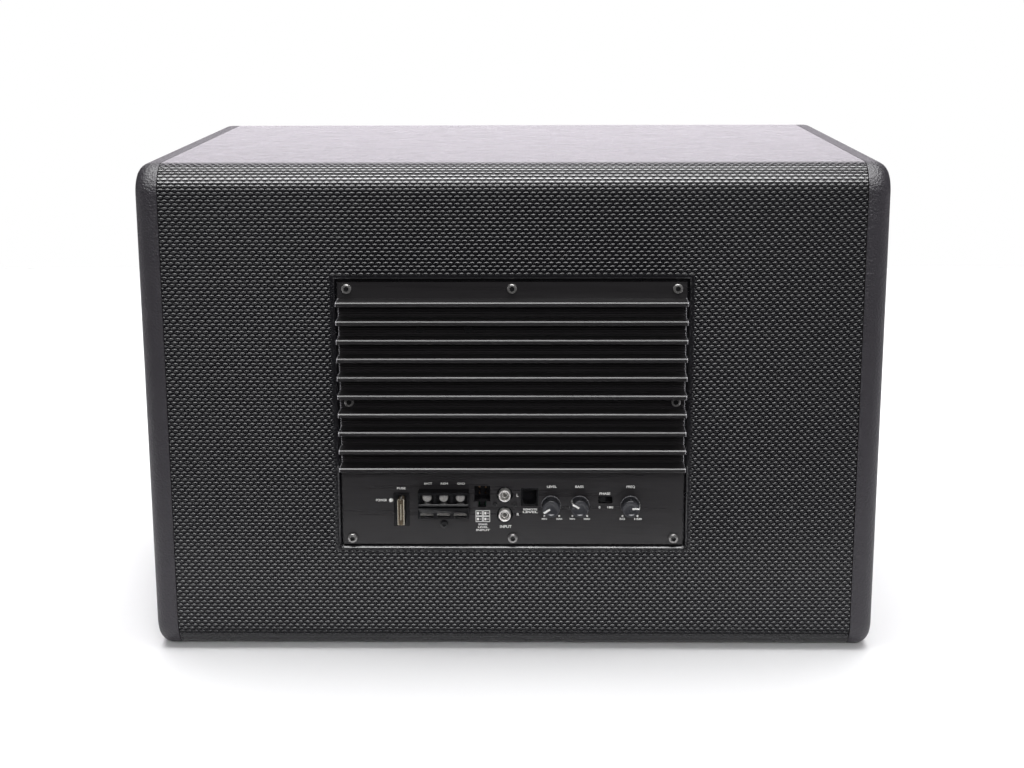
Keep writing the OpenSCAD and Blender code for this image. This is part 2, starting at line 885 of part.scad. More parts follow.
module phono_contacts() {
    color("gainsboro") on_plate(phono_x, phono_up) phono_cells() difference() {
        rod(contact_r, phono_in - 2, phono_out - 2.5);
        rod(contact_bore_r, phono_in, phono_out);
    }
}

// Header and remote jack

module input_header() {
    outer = header_w + 2 * header_wall;
    color("#151517") on_plate(header_x, header_up) difference() {
        union() {
            block(outer, outer, board_face, -plate_t);
            translate([0, -outer / 2 - latch_h / 2 + 1, 0]) block(latch_w - 2, latch_h, -plate_t - 6, -plate_t - 1.5);
        }
        block(header_w - 0.6, header_w - 0.6, -plate_t - header_deep, over);
        for (x = [-1, 1], y = [-1, 1]) translate([x * header_pitch / 2, y * header_pitch / 2, 0])
            block(pin_w, pin_w, board_face - over, 0);
    }
}

module header_pins() {
    color("gold") on_plate(header_x, header_up)
        for (x = [-1, 1], y = [-1, 1]) translate([x * header_pitch / 2, y * header_pitch / 2, 0])
            block(pin_w, pin_w, board_face, -plate_t - header_deep + pin_len);
}

module remote_cavity_outline() {
    translate([0, remote_round / 2]) square([remote_w, remote_h - remote_round], center = true);
    square([remote_w - 2 * remote_round, remote_h], center = true);
    for (side = [-1, 1]) translate([side * (remote_w / 2 - remote_round), -remote_h / 2 + remote_round])
        circle(remote_round);
}

module remote_jack() {
    color("#0d0d0f") on_plate(remote_x, remote_up) difference() {
        block(remote_w + 2 * remote_wall, remote_h + 2 * remote_wall, board_face, -0.4);
        translate([0, 0, -0.4 - remote_deep]) linear_extrude(remote_deep + over) remote_cavity_outline();
        for (i = [-1.5:1.5]) translate([i * 1.3, remote_h / 2, 0])
            block(0.6, 1, -0.4 - remote_deep, -3);
    }
}

module remote_contacts() {
    color("gold") on_plate(remote_x, remote_up)
        for (i = [-1.5:1.5]) translate([i * 1.3, remote_h / 2 - 0.15, 0])
            block(0.6, 0.7, -0.4 - remote_deep, -3);
}

// Woofer

module woofer_frame() {
    slope_t = basket_wall * 1.3;
    color("#3c3c40") difference() {
        on_baffle(woofer_x) difference() {
            rotate_extrude() {
                polygon([
                    [roll_mid + roll_r, -frame_t], [basket_r - basket_wall, -frame_t],
                    [basket_r - basket_wall, basket_bend + 1], [basket_foot_r - slope_t + 2, basket_foot + basket_wall],
                    [30, basket_foot + basket_wall], [30, basket_foot], [basket_foot_r, basket_foot],
                    [basket_r, basket_bend], [basket_r, -frame_t], [woofer_r, -frame_t], [woofer_r, 0],
                    [surround_r + 0.5, 0], [surround_r + 0.5, ledge_z], [roll_mid + roll_r, ledge_z]
                ]);
                translate([spider_r - 10, spider_z - 2]) square([11.5, 2]);
            }
            for (i = [0:window_count - 1]) rotate(360 * (i + 0.5) / window_count)
                translate([60, -window_w / 2, basket_bend - 4 - window_h]) cube([80, window_w, window_h]);
        }
        woofer_screw_holes(woofer_screw_r + 0.4, -frame_t - over, over);
    }
}

module woofer_gasket() {
    color("#171717") difference() {
        on_baffle(woofer_x) ring(woofer_r, woofer_hole_r, woofer_seat, -frame_t);
        woofer_screw_holes(woofer_screw_r + 0.4, woofer_seat - over, 0);
    }
}

module woofer_trim_ring() {
    color("#1b1b1d") on_baffle(woofer_x) ring(surround_r, roll_mid + roll_r + 1, ledge_z + lip_t, 1);
}

module surround() {
    color("#141416") on_baffle(woofer_x) rotate_extrude() {
        translate([rim_r - 5, ledge_z]) square([5.5, lip_t]);
        translate([roll_mid + roll_r - 0.5, ledge_z]) square([surround_r - roll_mid - roll_r + 0.5, lip_t]);
        intersection() {
            translate([roll_mid, ledge_z]) difference() {
                circle(roll_r);
                circle(roll_r - roll_t);
            }
            translate([roll_mid - roll_r, ledge_z]) square([2 * roll_r, roll_r]);
        }
    }
}

module cone() {
    color("#202024") on_baffle(woofer_x) rotate_extrude() polygon([
        [coil_r + thread_gap, cone_neck], [coil_r + thread_gap, cone_neck + 1.5 * cone_t],
        [rim_r - 5.5, ledge_z], [rim_r, ledge_z], [rim_r, ledge_z - cone_t], [rim_r - 4.5, ledge_z - cone_t]
    ]);
}

module dust_cap() {
    slope = (ledge_z - cone_neck - 1.5 * cone_t) / (rim_r - 5.5 - coil_r - thread_gap);
    rim_z = cone_neck + 1.5 * cone_t + (dust_r - coil_r - thread_gap) * slope + 0.05;
    dome_r = (dust_r * dust_r + dust_h * dust_h) / (2 * dust_h);
    color("#19191b") on_baffle(woofer_x) rotate_extrude() intersection() {
        translate([0, rim_z + dust_h - dome_r]) difference() {
            circle(dome_r);
            circle(dome_r - 0.8);
        }
        translate([0, rim_z]) square([dust_r, dust_h + over]);
    }
}

module coil_former() {
    color("#b9a06a") on_baffle(woofer_x) ring(coil_r, coil_r - former_t, former_end, former_top);
}

module voice_coil() {
    mid = basket_foot - gap_h / 2;
    color("#b4642d") on_baffle(woofer_x) ring(coil_r + winding_t, coil_r, mid - winding_h / 2, mid + winding_h / 2);
}

module spider() {
    flat_in = 28;
    flat_out = spider_r - 8;
    steps = 2 * spider_waves;
    wave_r = [for (i = [0:steps]) flat_in + (flat_out - flat_in) * i / steps];
    wave_z = [for (i = [0:steps]) spider_z + (i % 2 == 1 ? spider_wave : 0)];
    color("#c98f3c") on_baffle(woofer_x) rotate_extrude() polygon([
        [coil_r + thread_gap, spider_z], for (i = [0:steps]) [wave_r[i], wave_z[i]], [spider_r, spider_z],
        [spider_r, spider_z + spider_t], for (i = [steps:-1:0]) [wave_r[i], wave_z[i] + spider_t],
        [coil_r + thread_gap, spider_z + spider_t]
    ]);
}

module top_plate() {
    color("#55565a") on_baffle(woofer_x)
        ring(motor_r, coil_r + winding_t + 0.9, basket_foot - gap_h, basket_foot);
}

module magnet() {
    color("#2a2a2c") on_baffle(woofer_x)
        ring(magnet_r, magnet_hole_r, basket_foot - gap_h - magnet_h, basket_foot - gap_h);
}

module back_plate() {
    foot = basket_foot - gap_h - magnet_h;
    color("#55565a") on_baffle(woofer_x) difference() {
        union() {
            rod(motor_r, foot - motor_plate_t, foot);
            rod(pole_r, foot - over, basket_foot + 1);
        }
        rod(vent_r, foot - motor_plate_t - over, basket_foot + 2);
    }
}

module woofer_screws() {
    color("#2c2c30") on_baffle(woofer_x)
        for (i = [0:woofer_screw_count - 1]) rotate(360 * (i + 0.5) / woofer_screw_count)
            translate([woofer_screw_ring, 0, 0]) socket_screw(woofer_screw_r, woofer_screw_len, 4.5, 3);
}

module woofer_terminals() {
    strip_t = 2;
    strip_len = 30;
    post_up = 3.5;
    color("#8d1f1f") on_baffle(woofer_x) rotate(60) translate([motor_r + 1 + strip_len / 2, 0, 0]) difference() {
        union() {
            block(strip_len, 28, basket_foot - strip_t, basket_foot);
            for (side = [-1, 1]) translate([strip_len / 2 - 6, side * 8, 0])
                block(10, 9, basket_foot, basket_foot + post_up);
        }
        for (side = [-1, 1]) translate([strip_len / 2 - 6, side * 8, 0])
            rod(1.6, basket_foot - strip_t - over, basket_foot + post_up + over);
    }
}

module port_tube() {
    bore = port_d / 2;
    centre = port_lip_t - port_flare;
    color("#1a1a1c") on_baffle(port_x) difference() {
        union() {
            rod(bore + port_wall, -port_len, 0);
            rod(port_neck - port_gap, -shell_t - 6, 0);
            rod(bore + port_flare + port_lip, 0, port_lip_t);
        }
        rod(bore, -port_len - over, port_lip_t + over);
        rotate_extrude() difference() {
            translate([bore - over, centre]) square([port_flare + over, port_flare + over]);
            translate([bore + port_flare, centre]) circle(port_flare);
        }
    }
}

top_panel();
bottom_panel();
side_panel(-1);  // left_panel
side_panel(1);  // right_panel
amp_panel();
baffle();
vinyl_wrap();
end_cap(-1);  // left_end_cap
end_cap(1);  // right_end_cap
damping_pad();
heat_sink();
plate_gasket();
plate_screws();
clamp_screws();
transistors();
transistor_clamp();
circuit_board();
board_spacers();
transformer();
capacitors();
amp_cover();
pot(level_x);  // level_pot
pot(bass_x);  // bass_pot
pot(freq_x);  // freq_pot
knob(level_x);  // level_knob
knob(bass_x);  // bass_knob
knob(freq_x);  // freq_knob
phase_switch();
phase_slider();
power_led();
fuse_holder();
fuse();
fuse_blades();
terminal_block();
terminal_screws();
terminal_clamps();
terminal_block_screw();
phono_housing();
phono_shells();
phono_contacts();
jack_screws();
input_header();
header_pins();
remote_jack();
remote_contacts();
woofer_frame();
woofer_gasket();
woofer_trim_ring();
surround();
cone();
dust_cap();
coil_former();
voice_coil();
spider();
top_plate();
magnet();
back_plate();
woofer_screws();
woofer_terminals();
port_tube();
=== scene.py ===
import json
import math

import bpy
from bpy.props import FloatProperty, FloatVectorProperty, PointerProperty
from mathutils import Matrix, Vector
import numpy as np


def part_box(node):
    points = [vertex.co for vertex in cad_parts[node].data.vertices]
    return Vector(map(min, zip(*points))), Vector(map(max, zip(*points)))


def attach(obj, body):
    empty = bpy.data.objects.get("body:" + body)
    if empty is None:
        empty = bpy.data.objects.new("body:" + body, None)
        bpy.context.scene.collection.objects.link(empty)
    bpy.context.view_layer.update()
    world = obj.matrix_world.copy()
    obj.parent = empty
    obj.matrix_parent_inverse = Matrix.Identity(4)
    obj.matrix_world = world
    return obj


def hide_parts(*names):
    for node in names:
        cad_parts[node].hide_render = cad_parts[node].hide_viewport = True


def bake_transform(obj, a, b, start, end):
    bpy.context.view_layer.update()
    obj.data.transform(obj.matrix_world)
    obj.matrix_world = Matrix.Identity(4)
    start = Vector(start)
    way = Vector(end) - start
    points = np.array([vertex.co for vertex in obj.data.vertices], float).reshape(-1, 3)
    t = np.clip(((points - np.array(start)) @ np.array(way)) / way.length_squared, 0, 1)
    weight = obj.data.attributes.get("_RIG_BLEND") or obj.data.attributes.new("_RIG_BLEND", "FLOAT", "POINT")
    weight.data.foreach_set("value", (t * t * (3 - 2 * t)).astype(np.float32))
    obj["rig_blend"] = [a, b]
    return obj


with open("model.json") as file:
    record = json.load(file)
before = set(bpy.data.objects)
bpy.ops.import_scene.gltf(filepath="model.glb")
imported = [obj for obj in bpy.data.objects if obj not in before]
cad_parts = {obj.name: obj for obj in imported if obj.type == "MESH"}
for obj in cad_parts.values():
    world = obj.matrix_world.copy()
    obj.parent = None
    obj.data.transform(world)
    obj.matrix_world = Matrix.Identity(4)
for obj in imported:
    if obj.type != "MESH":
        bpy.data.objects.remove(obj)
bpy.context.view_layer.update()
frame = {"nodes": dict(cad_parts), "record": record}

bl_info = {
    "name": "Powered car subwoofer",
    "version": (1, 0, 0),
    "blender": (4, 5, 0),
    "location": "View3D > Sidebar > Subwoofer",
    "description": "Wrapped box with end caps, a finned plate amplifier and a ported woofer",
    "category": "Object",
}

MM = 0.001
WRAP_LOW, WRAP_HIGH = (Vector(corner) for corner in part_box("vinyl_wrap"))
CAP_LOW, CAP_HIGH = (Vector(corner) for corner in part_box("right_end_cap"))
PLATE_LOW, PLATE_HIGH = (Vector(corner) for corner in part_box("heat_sink"))
FIN_HEIGHT = 16 * MM
PLATE_Y = PLATE_LOW.y + FIN_HEIGHT
WOOFER_Y = 174 * MM
WOOFER_X = -75 * MM
PORT_X = 160 * MM
MIDDLE_Z = (WRAP_LOW.z + WRAP_HIGH.z) / 2
EDGE_R = 20 * MM


def length(name, text, value):
    """A setting that is a length in metres."""
    return FloatProperty(name=name, description=text, default=value, unit="LENGTH", subtype="DISTANCE")


def colour(name, text, value):
    """A setting that is a colour."""
    return FloatVectorProperty(
        name=name, description=text, default=value, size=3, min=0, max=1, subtype="COLOR")


def power(name, text, value):
    """A setting that is a lamp's power in watts."""
    return FloatProperty(name=name, description=text, default=value, min=0, unit="POWER")


class CabinetSettings(bpy.types.PropertyGroup):
    edge_radius: length("Edge radius", "Radius of the four long edges", EDGE_R)
    wrap_thickness: length("Wrap thickness", "Thickness of the vinyl wrap", 1.2 * MM)
    turn_in_radius: length("Turn-in radius", "Radius over which the wrap turns into the recess", 3.5 * MM)
    cap_rim: length("Cap rim", "Rounding of the outer rim of an end cap", 10 * MM)
    bump_pitch: length("Bump pitch", "Spacing of the embossed bumps along a row", 4.8 * MM)
    row_pitch: length("Row pitch", "Spacing of the rows of bumps", 2.46 * MM)
    vinyl_colour: colour("Vinyl", "Colour of the wrap", (0.007, 0.0068, 0.0085))
    cap_colour: colour("End caps", "Colour of the moulded end caps", (0.027, 0.0245, 0.030))


class AmplifierSettings(bpy.types.PropertyGroup):
    anodised_colour: colour("Anodising", "Colour of the heat sink", (0.019, 0.0178, 0.0190))
    knob_colour: colour("Knobs", "Colour of the knobs", (0.030, 0.031, 0.036))
    print_colour: colour("Print", "Colour of the printed marks and pointers", (0.72, 0.72, 0.70))
    fuse_colour: colour("Fuse", "Colour of the fuse's body", (0.20, 0.16, 0.11))
    print_thickness: length("Print thickness", "Thickness of the printed marks", 0.04 * MM)


class WooferSettings(bpy.types.PropertyGroup):
    cone_colour: colour("Cone", "Colour of the cone", (0.020, 0.020, 0.023))
    surround_colour: colour("Surround", "Colour of the rubber surround", (0.012, 0.012, 0.013))
    roll_radius: length("Roll radius", "Radius of the surround's half roll", 7 * MM)


class StageSettings(bpy.types.PropertyGroup):
    floor_colour: colour("Floor", "Colour of the floor", (0.93, 0.93, 0.94))
    top_light: power("Top light", "Power of the large light over the front edge", 78)
    roof_light: power("Roof light", "Power of the light over the back half", 70)
    floor_light: power("Floor light", "Power of the light that whitens the floor", 132)
    front_light: power("Front light", "Power of the weak light in front", 30)
    back_light: FloatProperty(
        name="Back light", description="Brightness of the room behind the object", default=2.3)
    side_light: FloatProperty(
        name="Side light", description="Brightness of the room at both sides", default=0.6)
    dim_light: FloatProperty(name="Dim light", description="Brightness of the rest of the room", default=0.03)
    lens: FloatProperty(name="Lens", description="Focal length of the camera in millimetres", default=60.09)


def settings(part):
    """The current settings of a part of the object."""
    return getattr(bpy.context.scene, "subwoofer_" + part)


# Finishes


class Finish:
    """A material in the making, with short ways to add nodes to it."""

    def __init__(self, name, colour, rough, metal=0.0, specular=0.5):
        self.material = bpy.data.materials.new(name)
        self.material.use_nodes = True
        self.tree = self.material.node_tree
        self.shader = self.tree.nodes["Principled BSDF"]
        self.colour = tuple(colour[:3]) + (1,)
        self.set("Base Color", self.colour)
        self.set("Roughness", rough)
        self.set("Metallic", metal)
        self.set("Specular IOR Level", specular)

    def set(self, socket, value):
        if isinstance(value, bpy.types.NodeSocket):
            self.tree.links.new(value, self.shader.inputs[socket])
        else:
            self.shader.inputs[socket].default_value = value

    def node(self, kind, inputs, out=0, **options):
        new = self.tree.nodes.new(kind)
        for key, value in options.items():
            setattr(new, key, value)
        for key, value in inputs.items():
            if isinstance(value, bpy.types.NodeSocket):
                self.tree.links.new(value, new.inputs[key])
            else:
                new.inputs[key].default_value = value
        return new.outputs[out]

    def math(self, operation, *values, clamp=False):
        return self.node("ShaderNodeMath", dict(enumerate(values)), operation=operation, use_clamp=clamp)

    def place(self, stretch=(1, 1, 1)):
        where = self.node("ShaderNodeTexCoord", {}, out=3)
        return self.node("ShaderNodeMapping", {0: where, 3: stretch})

    def axes(self, vector):
        split = self.node("ShaderNodeSeparateXYZ", {0: vector})
        return [split.node.outputs[i] for i in range(3)]

    def noise(self, size, detail=2.0, stretch=(1, 1, 1), vector=None):
        """Noise whose blobs are about that many metres across."""
        inputs = {"Vector": vector or self.place(stretch), "Scale": 1 / size, "Detail": detail}
        return self.node("ShaderNodeTexNoise", inputs)

    def cells(self, size, stretch=(1, 1, 1)):
        return self.node("ShaderNodeTexVoronoi", {"Vector": self.place(stretch), "Scale": 1 / size})

    def spread(self, value, low, high, to_low, to_high):
        return self.node("ShaderNodeMapRange", {0: value, 1: low, 2: high, 3: to_low, 4: to_high})

    def smooth(self, value, low, high, to_low=0.0, to_high=1.0):
        inputs = {0: value, 1: low, 2: high, 3: to_low, 4: to_high}
        return self.node("ShaderNodeMapRange", inputs, interpolation_type="SMOOTHSTEP")

    def mix(self, factor, first, second):
        return self.node("ShaderNodeMix", {0: factor, 6: first, 7: second}, out=2, data_type="RGBA")

    def bump(self, height, depth, under=None, strength=1.0):
        inputs = {"Height": height, "Distance": depth, "Strength": strength}
        if under is not None:
            inputs["Normal"] = under
        return self.node("ShaderNodeBump", inputs)

    def tinted(self, factor, spread=0.2):
        """The finish's own colour, a little darker and lighter as a value says."""
        dark = tuple(c * (1 - spread) for c in self.colour[:3]) + (1,)
        light = tuple(min(1, c * (1 + spread)) for c in self.colour[:3]) + (1,)
        return self.mix(factor, dark, light)


FINISHES = {}


def moulded(name, colour, rough, grain=0.5 * MM, depth=0.02 * MM, **more):
    """Moulded plastic or rubber with fine grain and faint handling marks."""
    finish = Finish(name, colour, rough, **more)
    finish.set("Base Color", finish.tinted(finish.noise(12 * MM)))
    finish.set("Roughness", finish.spread(finish.noise(5 * MM, 4), 0.3, 0.7, rough * 0.85, rough * 1.15))
    finish.set("Normal", finish.bump(finish.noise(grain, 3), depth))
    return finish


def metal(name, colour, rough, lines=(1, 1, 1), grain=0.2 * MM, depth=0.004 * MM, **more):
    """Metal with fine lines along the axis that is stretched least."""
    finish = Finish(name, colour, rough, **{"metal": 1.0, **more})
    scratch = finish.noise(grain, 3, stretch=lines)
    finish.set("Base Color", finish.tinted(finish.noise(6 * MM), 0.1))
    finish.set("Roughness", finish.spread(scratch, 0.3, 0.7, rough * 0.8, rough * 1.2))
    finish.set("Normal", finish.bump(scratch, depth))
    return finish


def vinyl():
    """Black vinyl with staggered rows of raised lens shapes, smooth where it is stretched over an edge."""
    own = settings("cabinet")
    finish = Finish("embossed_vinyl", own.vinyl_colour, 0.3)
    along, round_, _ = finish.axes(finish.node("ShaderNodeUVMap", {}, uv_map="Unrolled"))
    row = finish.math("DIVIDE", round_, own.row_pitch)
    shift = finish.math("MULTIPLY", finish.math("FLOORED_MODULO", finish.math("FLOOR", row), 2.0), 0.5)
    cell = finish.math("ADD", finish.math("DIVIDE", along, own.bump_pitch), shift)
    across = finish.math("ABSOLUTE", finish.math("SUBTRACT", finish.math("FRACT", cell), 0.5))
    up = finish.math("ABSOLUTE", finish.math("SUBTRACT", finish.math("FRACT", row), 0.5))
    half = finish.math("SUBTRACT", 0.5, finish.math("MULTIPLY", finish.math("MULTIPLY", across, across), 2.1))
    lens = finish.math("SUBTRACT", 1.0, finish.math("DIVIDE", up, half), clamp=True)
    swell = finish.smooth(lens, 0.0, 0.75)
    x, y, z = finish.axes(finish.place())
    to_side = finish.math("SUBTRACT", finish.math("ABSOLUTE", x), PLATE_HIGH.x + 1.2 * MM)
    from_middle = finish.math("ABSOLUTE", finish.math("SUBTRACT", z, MIDDLE_Z))
    to_top = finish.math("SUBTRACT", from_middle, (PLATE_HIGH.z - PLATE_LOW.z) / 2 + 1.2 * MM)
    away = finish.math("MAXIMUM", to_side, to_top)
    front = finish.math("LESS_THAN", y, -0.15)
    stretched = finish.math("MULTIPLY", finish.smooth(away, 3.0 * MM, 5.5 * MM, 1.0, 0.0), front)
    kept = finish.math("SUBTRACT", 1.0, finish.math("MULTIPLY", stretched, 0.92))
    level = finish.smooth(z, WRAP_HIGH.z - 1.2 * MM, WRAP_HIGH.z - 0.2 * MM, 1.0, 0.3)
    low = finish.smooth(z, WRAP_LOW.z + 9 * MM, WRAP_LOW.z + 14 * MM, 0.15, 1.0)
    level = finish.math("MULTIPLY", level, low)
    height = finish.math("MULTIPLY", finish.math("MULTIPLY", swell, kept), level)
    grain = finish.bump(finish.noise(0.35 * MM, 3), 0.02 * MM)
    finish.set("Normal", finish.bump(height, 0.68 * MM, under=grain))
    finish.set("Base Color", finish.tinted(finish.noise(30 * MM), 0.08))
    worn = finish.spread(finish.noise(14 * MM, 3), 0.3, 0.7, 0.27, 0.30)
    finish.set("Roughness", finish.math("ADD", worn, finish.math("MULTIPLY", height, -0.06)))
    # Specular level carries painted light: it drops in the valleys between the bumps as painted shade and rises
    # on the bumps near the top as painted highlight; the smooth stretched and bottom bands keep a high level.
    flat = finish.math("MAXIMUM", stretched, finish.math("SUBTRACT", 1.0, level))
    edge = finish.math("MULTIPLY", finish.smooth(z, WRAP_HIGH.z - 18 * MM, WRAP_HIGH.z - 13 * MM), 0.5)
    glint = finish.smooth(swell, 0.1, 0.8, 0.1, 0.65)
    raised = finish.math("ADD", glint, finish.math("MULTIPLY", edge, swell))
    shine = finish.math("MAXIMUM", raised, finish.math("MULTIPLY", flat, 0.8))
    finish.set("Specular IOR Level", shine)
    return finish


def leather_grain():
    """Moulded end cap with a fine leather grain."""
    finish = Finish("grained_cap", settings("cabinet").cap_colour, 0.45)
    pebble = finish.cells(1.5 * MM)
    crease = finish.noise(0.7 * MM, 4)
    height = finish.math("ADD", pebble, finish.math("MULTIPLY", crease, 0.6))
    finish.set("Normal", finish.bump(height, 0.34 * MM))
    finish.set("Base Color", finish.tinted(finish.noise(20 * MM, 3), 0.12))
    finish.set("Roughness", finish.spread(crease, 0.3, 0.7, 0.42, 0.54))
    return finish


def anodised():
    """Black anodised extrusion with die lines along its length."""
    finish = Finish("black_anodising", settings("amplifier").anodised_colour, 0.36, metal=0.0, specular=0.5)
    lines = finish.noise(0.35 * MM, 4, stretch=(0.012, 1, 1))
    broad = finish.noise(5 * MM, 2, stretch=(0.03, 1, 1))
    x, _, z = finish.axes(finish.place())
    sawn = finish.math("GREATER_THAN", finish.math("ABSOLUTE", x), PLATE_HIGH.x - 0.55 * MM)
    middle = (PLATE_HIGH.z + PLATE_LOW.z) / 2 + 22 * MM
    finned = finish.math("LESS_THAN", finish.math("ABSOLUTE", finish.math("SUBTRACT", z, middle)), 59 * MM)
    sawn = finish.math("MULTIPLY", sawn, finned)
    finish.set("Base Color", finish.mix(sawn, finish.tinted(lines, 0.45), (0.26, 0.255, 0.27, 1)))
    finish.set("Roughness", finish.spread(broad, 0.3, 0.7, 0.26, 0.40))
    finish.set("Normal", finish.bump(lines, 0.03 * MM))
    return finish


def clear_body(name, colour):
    """Translucent brownish plastic with a hard gloss."""
    finish = moulded(name, colour, 0.12, depth=0.003 * MM)
    finish.set("Transmission Weight", 0.55)
    finish.set("IOR", 1.49)
    return finish


def woven(name, colour):
    """Plain-weave cloth stiffened with resin."""
    finish = Finish(name, colour, 0.8)
    x, _, z = finish.axes(finish.place())
    warp = finish.math("SINE", finish.math("MULTIPLY", x, 2 * math.pi / MM))
    weft = finish.math("SINE", finish.math("MULTIPLY", z, 2 * math.pi / MM))
    finish.set("Normal", finish.bump(finish.math("MULTIPLY", warp, weft), 0.1 * MM))
    finish.set("Base Color", finish.tinted(finish.noise(2 * MM, 3), 0.25))
    return finish


def fibreboard():
    """Raw fibreboard with short fibres."""
    finish = Finish("fibreboard", (0.42, 0.30, 0.18), 0.85)
    fibre = finish.noise(0.8 * MM, 5, stretch=(1, 1, 0.3))
    finish.set("Base Color", finish.tinted(fibre, 0.3))
    finish.set("Normal", finish.bump(fibre, 0.1 * MM))
    return finish


def wadding():
    """Loose polyester wadding."""
    finish = Finish("polyester_wadding", (0.55, 0.55, 0.52), 0.95)
    tuft = finish.noise(6 * MM, 6)
    finish.set("Base Color", finish.tinted(tuft, 0.2))
    finish.set("Normal", finish.bump(tuft, 3 * MM))
    return finish


def make_finishes():
    """Makes every finish of the object."""
    amp, woofer = settings("amplifier"), settings("woofer")
    made = {
        "vinyl": vinyl(),
        "cap_plastic": leather_grain(),
        "black_anodised": anodised(),
        "wood_panel": fibreboard(),
        "wadding": wadding(),
        "foam_gasket": moulded("closed_cell_foam", (0.02, 0.02, 0.02), 0.9, 0.8 * MM, 0.2 * MM),
        "steel_screw": metal("plated_screw", (0.27, 0.265, 0.26), 0.28, metal=0.6),
        "black_screw": moulded("blackened_screw", (0.015, 0.015, 0.016), 0.35, 0.3 * MM, 0.01 * MM),
        "semiconductor": moulded("moulded_epoxy", (0.02, 0.02, 0.02), 0.6),
        "plain_aluminium": metal("rolled_aluminium", (0.72, 0.72, 0.73), 0.35, (0.05, 1, 1)),
        "board": moulded("solder_mask", (0.01, 0.09, 0.04), 0.3, 1 * MM, 0.03 * MM),
        "nylon": moulded("natural_nylon", (0.70, 0.69, 0.64), 0.5),
        "copper_winding": metal("enamelled_copper", (0.65, 0.26, 0.10), 0.3, (1, 0.1, 1), 0.5 * MM, 0.1 * MM),
        "capacitor_sleeve": moulded("shrunk_sleeve", (0.02, 0.025, 0.06), 0.3),
        "pot_body": moulded("control_body", (0.05, 0.05, 0.055), 0.5),
        "knob_plastic": moulded("knob_plastic", amp.knob_colour, 0.3, 0.4 * MM, 0.006 * MM),
        "knob_rim": metal("knob_rim", (0.62, 0.62, 0.64), 0.22, metal=0.5),
        # Pale fuse finish: the bar in the top window, and painted highlight along the grip's side edges.
        "fuse_window_bar_and_highlight": clear_body("fuse_window_bar_and_highlight", (0.72, 0.68, 0.58)),
        "white_print": moulded("white_print", amp.print_colour, 0.5, 0.2 * MM, 0.005 * MM),
        "black_plastic": moulded("black_moulding", (0.008, 0.008, 0.009), 0.22, 0.8 * MM, 0.008 * MM),
        "light_lens": moulded("milky_lens", (0.80, 0.80, 0.78), 0.25, 0.5 * MM, 0.002 * MM),
        "fuse_body": clear_body("fuse_plastic", amp.fuse_colour),
        "bright_metal": metal("bright_nickel", (0.86, 0.84, 0.82), 0.25, metal=0.55),
        # Contact gold darkened as painted shade: the contacts sit deep inside their housings.
        "contact_metal": metal("shade_darkened_gold", (0.16, 0.10, 0.06), 0.45),
        "frame_paint": moulded("powder_coat", (0.012, 0.012, 0.013), 0.45, 0.5 * MM, 0.05 * MM),
        "trim_rubber": moulded("moulded_rubber", woofer.surround_colour, 0.48, 0.6 * MM, 0.02 * MM),
        "cone_pulp": moulded("filled_cone", woofer.cone_colour, 0.42, 1.5 * MM, 0.05 * MM),
        "former": metal("former_foil", (0.70, 0.62, 0.45), 0.35),
        "spider_cloth": woven("treated_cloth", (0.55, 0.34, 0.12)),
        "plated_steel": metal("zinc_plate", (0.50, 0.50, 0.46), 0.32),
        "ferrite": moulded("sintered_ferrite", (0.03, 0.03, 0.033), 0.7, 0.4 * MM, 0.04 * MM),
        "terminal_fibre": moulded("phenolic_board", (0.20, 0.05, 0.03), 0.45),
    }
    FINISHES.update({name: finish.material for name, finish in made.items()})


def paint(piece, finish):
    """Gives a piece one finish."""
    piece.data.materials.clear()
    piece.data.materials.append(FINISHES[finish])


# Modelling


def trim(piece, finish):
    """Gives the picked faces of a piece another finish."""
    piece.data.materials.append(FINISHES[finish])
    piece.active_material_index = len(piece.data.materials) - 1
    bpy.ops.object.material_slot_assign()
    rest(piece)


def alone(piece):
    """Selects one object and nothing else."""
    if bpy.context.object and bpy.context.object.mode != "OBJECT":
        bpy.ops.object.mode_set(mode="OBJECT")
    bpy.ops.object.select_all(action="DESELECT")
    piece.select_set(True)
    bpy.context.view_layer.objects.active = piece


def pick(piece, test, kind="FACE"):
    """Goes into edit mode with only the faces, edges or points selected whose middle passes a test."""
    alone(piece)
    bpy.context.tool_settings.mesh_select_mode = (kind == "VERT", kind == "EDGE", kind == "FACE")
    bpy.ops.object.mode_set(mode="EDIT")
    bpy.ops.mesh.select_all(action="DESELECT")
    bpy.ops.object.mode_set(mode="OBJECT")
    mesh = piece.data
    for part in {"VERT": mesh.vertices, "EDGE": mesh.edges, "FACE": mesh.polygons}[kind]:
        points = [part.index] if kind == "VERT" else part.vertices
        ends = [mesh.vertices[i].co for i in points]
        part.select = bool(test(sum(ends, Vector()) / len(ends), part, ends))
    bpy.ops.object.mode_set(mode="EDIT")


def rest(piece, place=None):
    """Leaves edit mode, puts the piece in its place and makes the place part of its mesh."""
    alone(piece)
    if place is not None:
        piece.matrix_world = place
    bpy.ops.object.transform_apply(location=True, rotation=True, scale=True)
    return piece


def soften(piece, angle=35):
    """Shades the piece smooth, with its edges kept."""
    alone(piece)
    bpy.ops.object.shade_smooth_by_angle(angle=math.radians(angle))
    return piece


def modify(piece, kind, **options):
    """Adds a modifier and applies it."""
    alone(piece)
    bpy.ops.object.modifier_add(type=kind)
    modifier = piece.modifiers[-1]
    for key, value in options.items():
        setattr(modifier, key, value)
    bpy.ops.object.modifier_apply(modifier=modifier.name)


def cut(piece, *cutters):
    """Cuts other objects out of a piece and removes them."""
    for cutter in cutters:
        modify(piece, "BOOLEAN", operation="DIFFERENCE", object=cutter, solver="EXACT")
        bpy.data.objects.remove(cutter)


def join(name, *parts):
    """Joins objects into one piece."""
    alone(parts[0])
    for part in parts:
        part.select_set(True)
    if len(parts) > 1:
        bpy.ops.object.join()
    parts[0].name = name
    parts[0].data.name = name
    return parts[0]


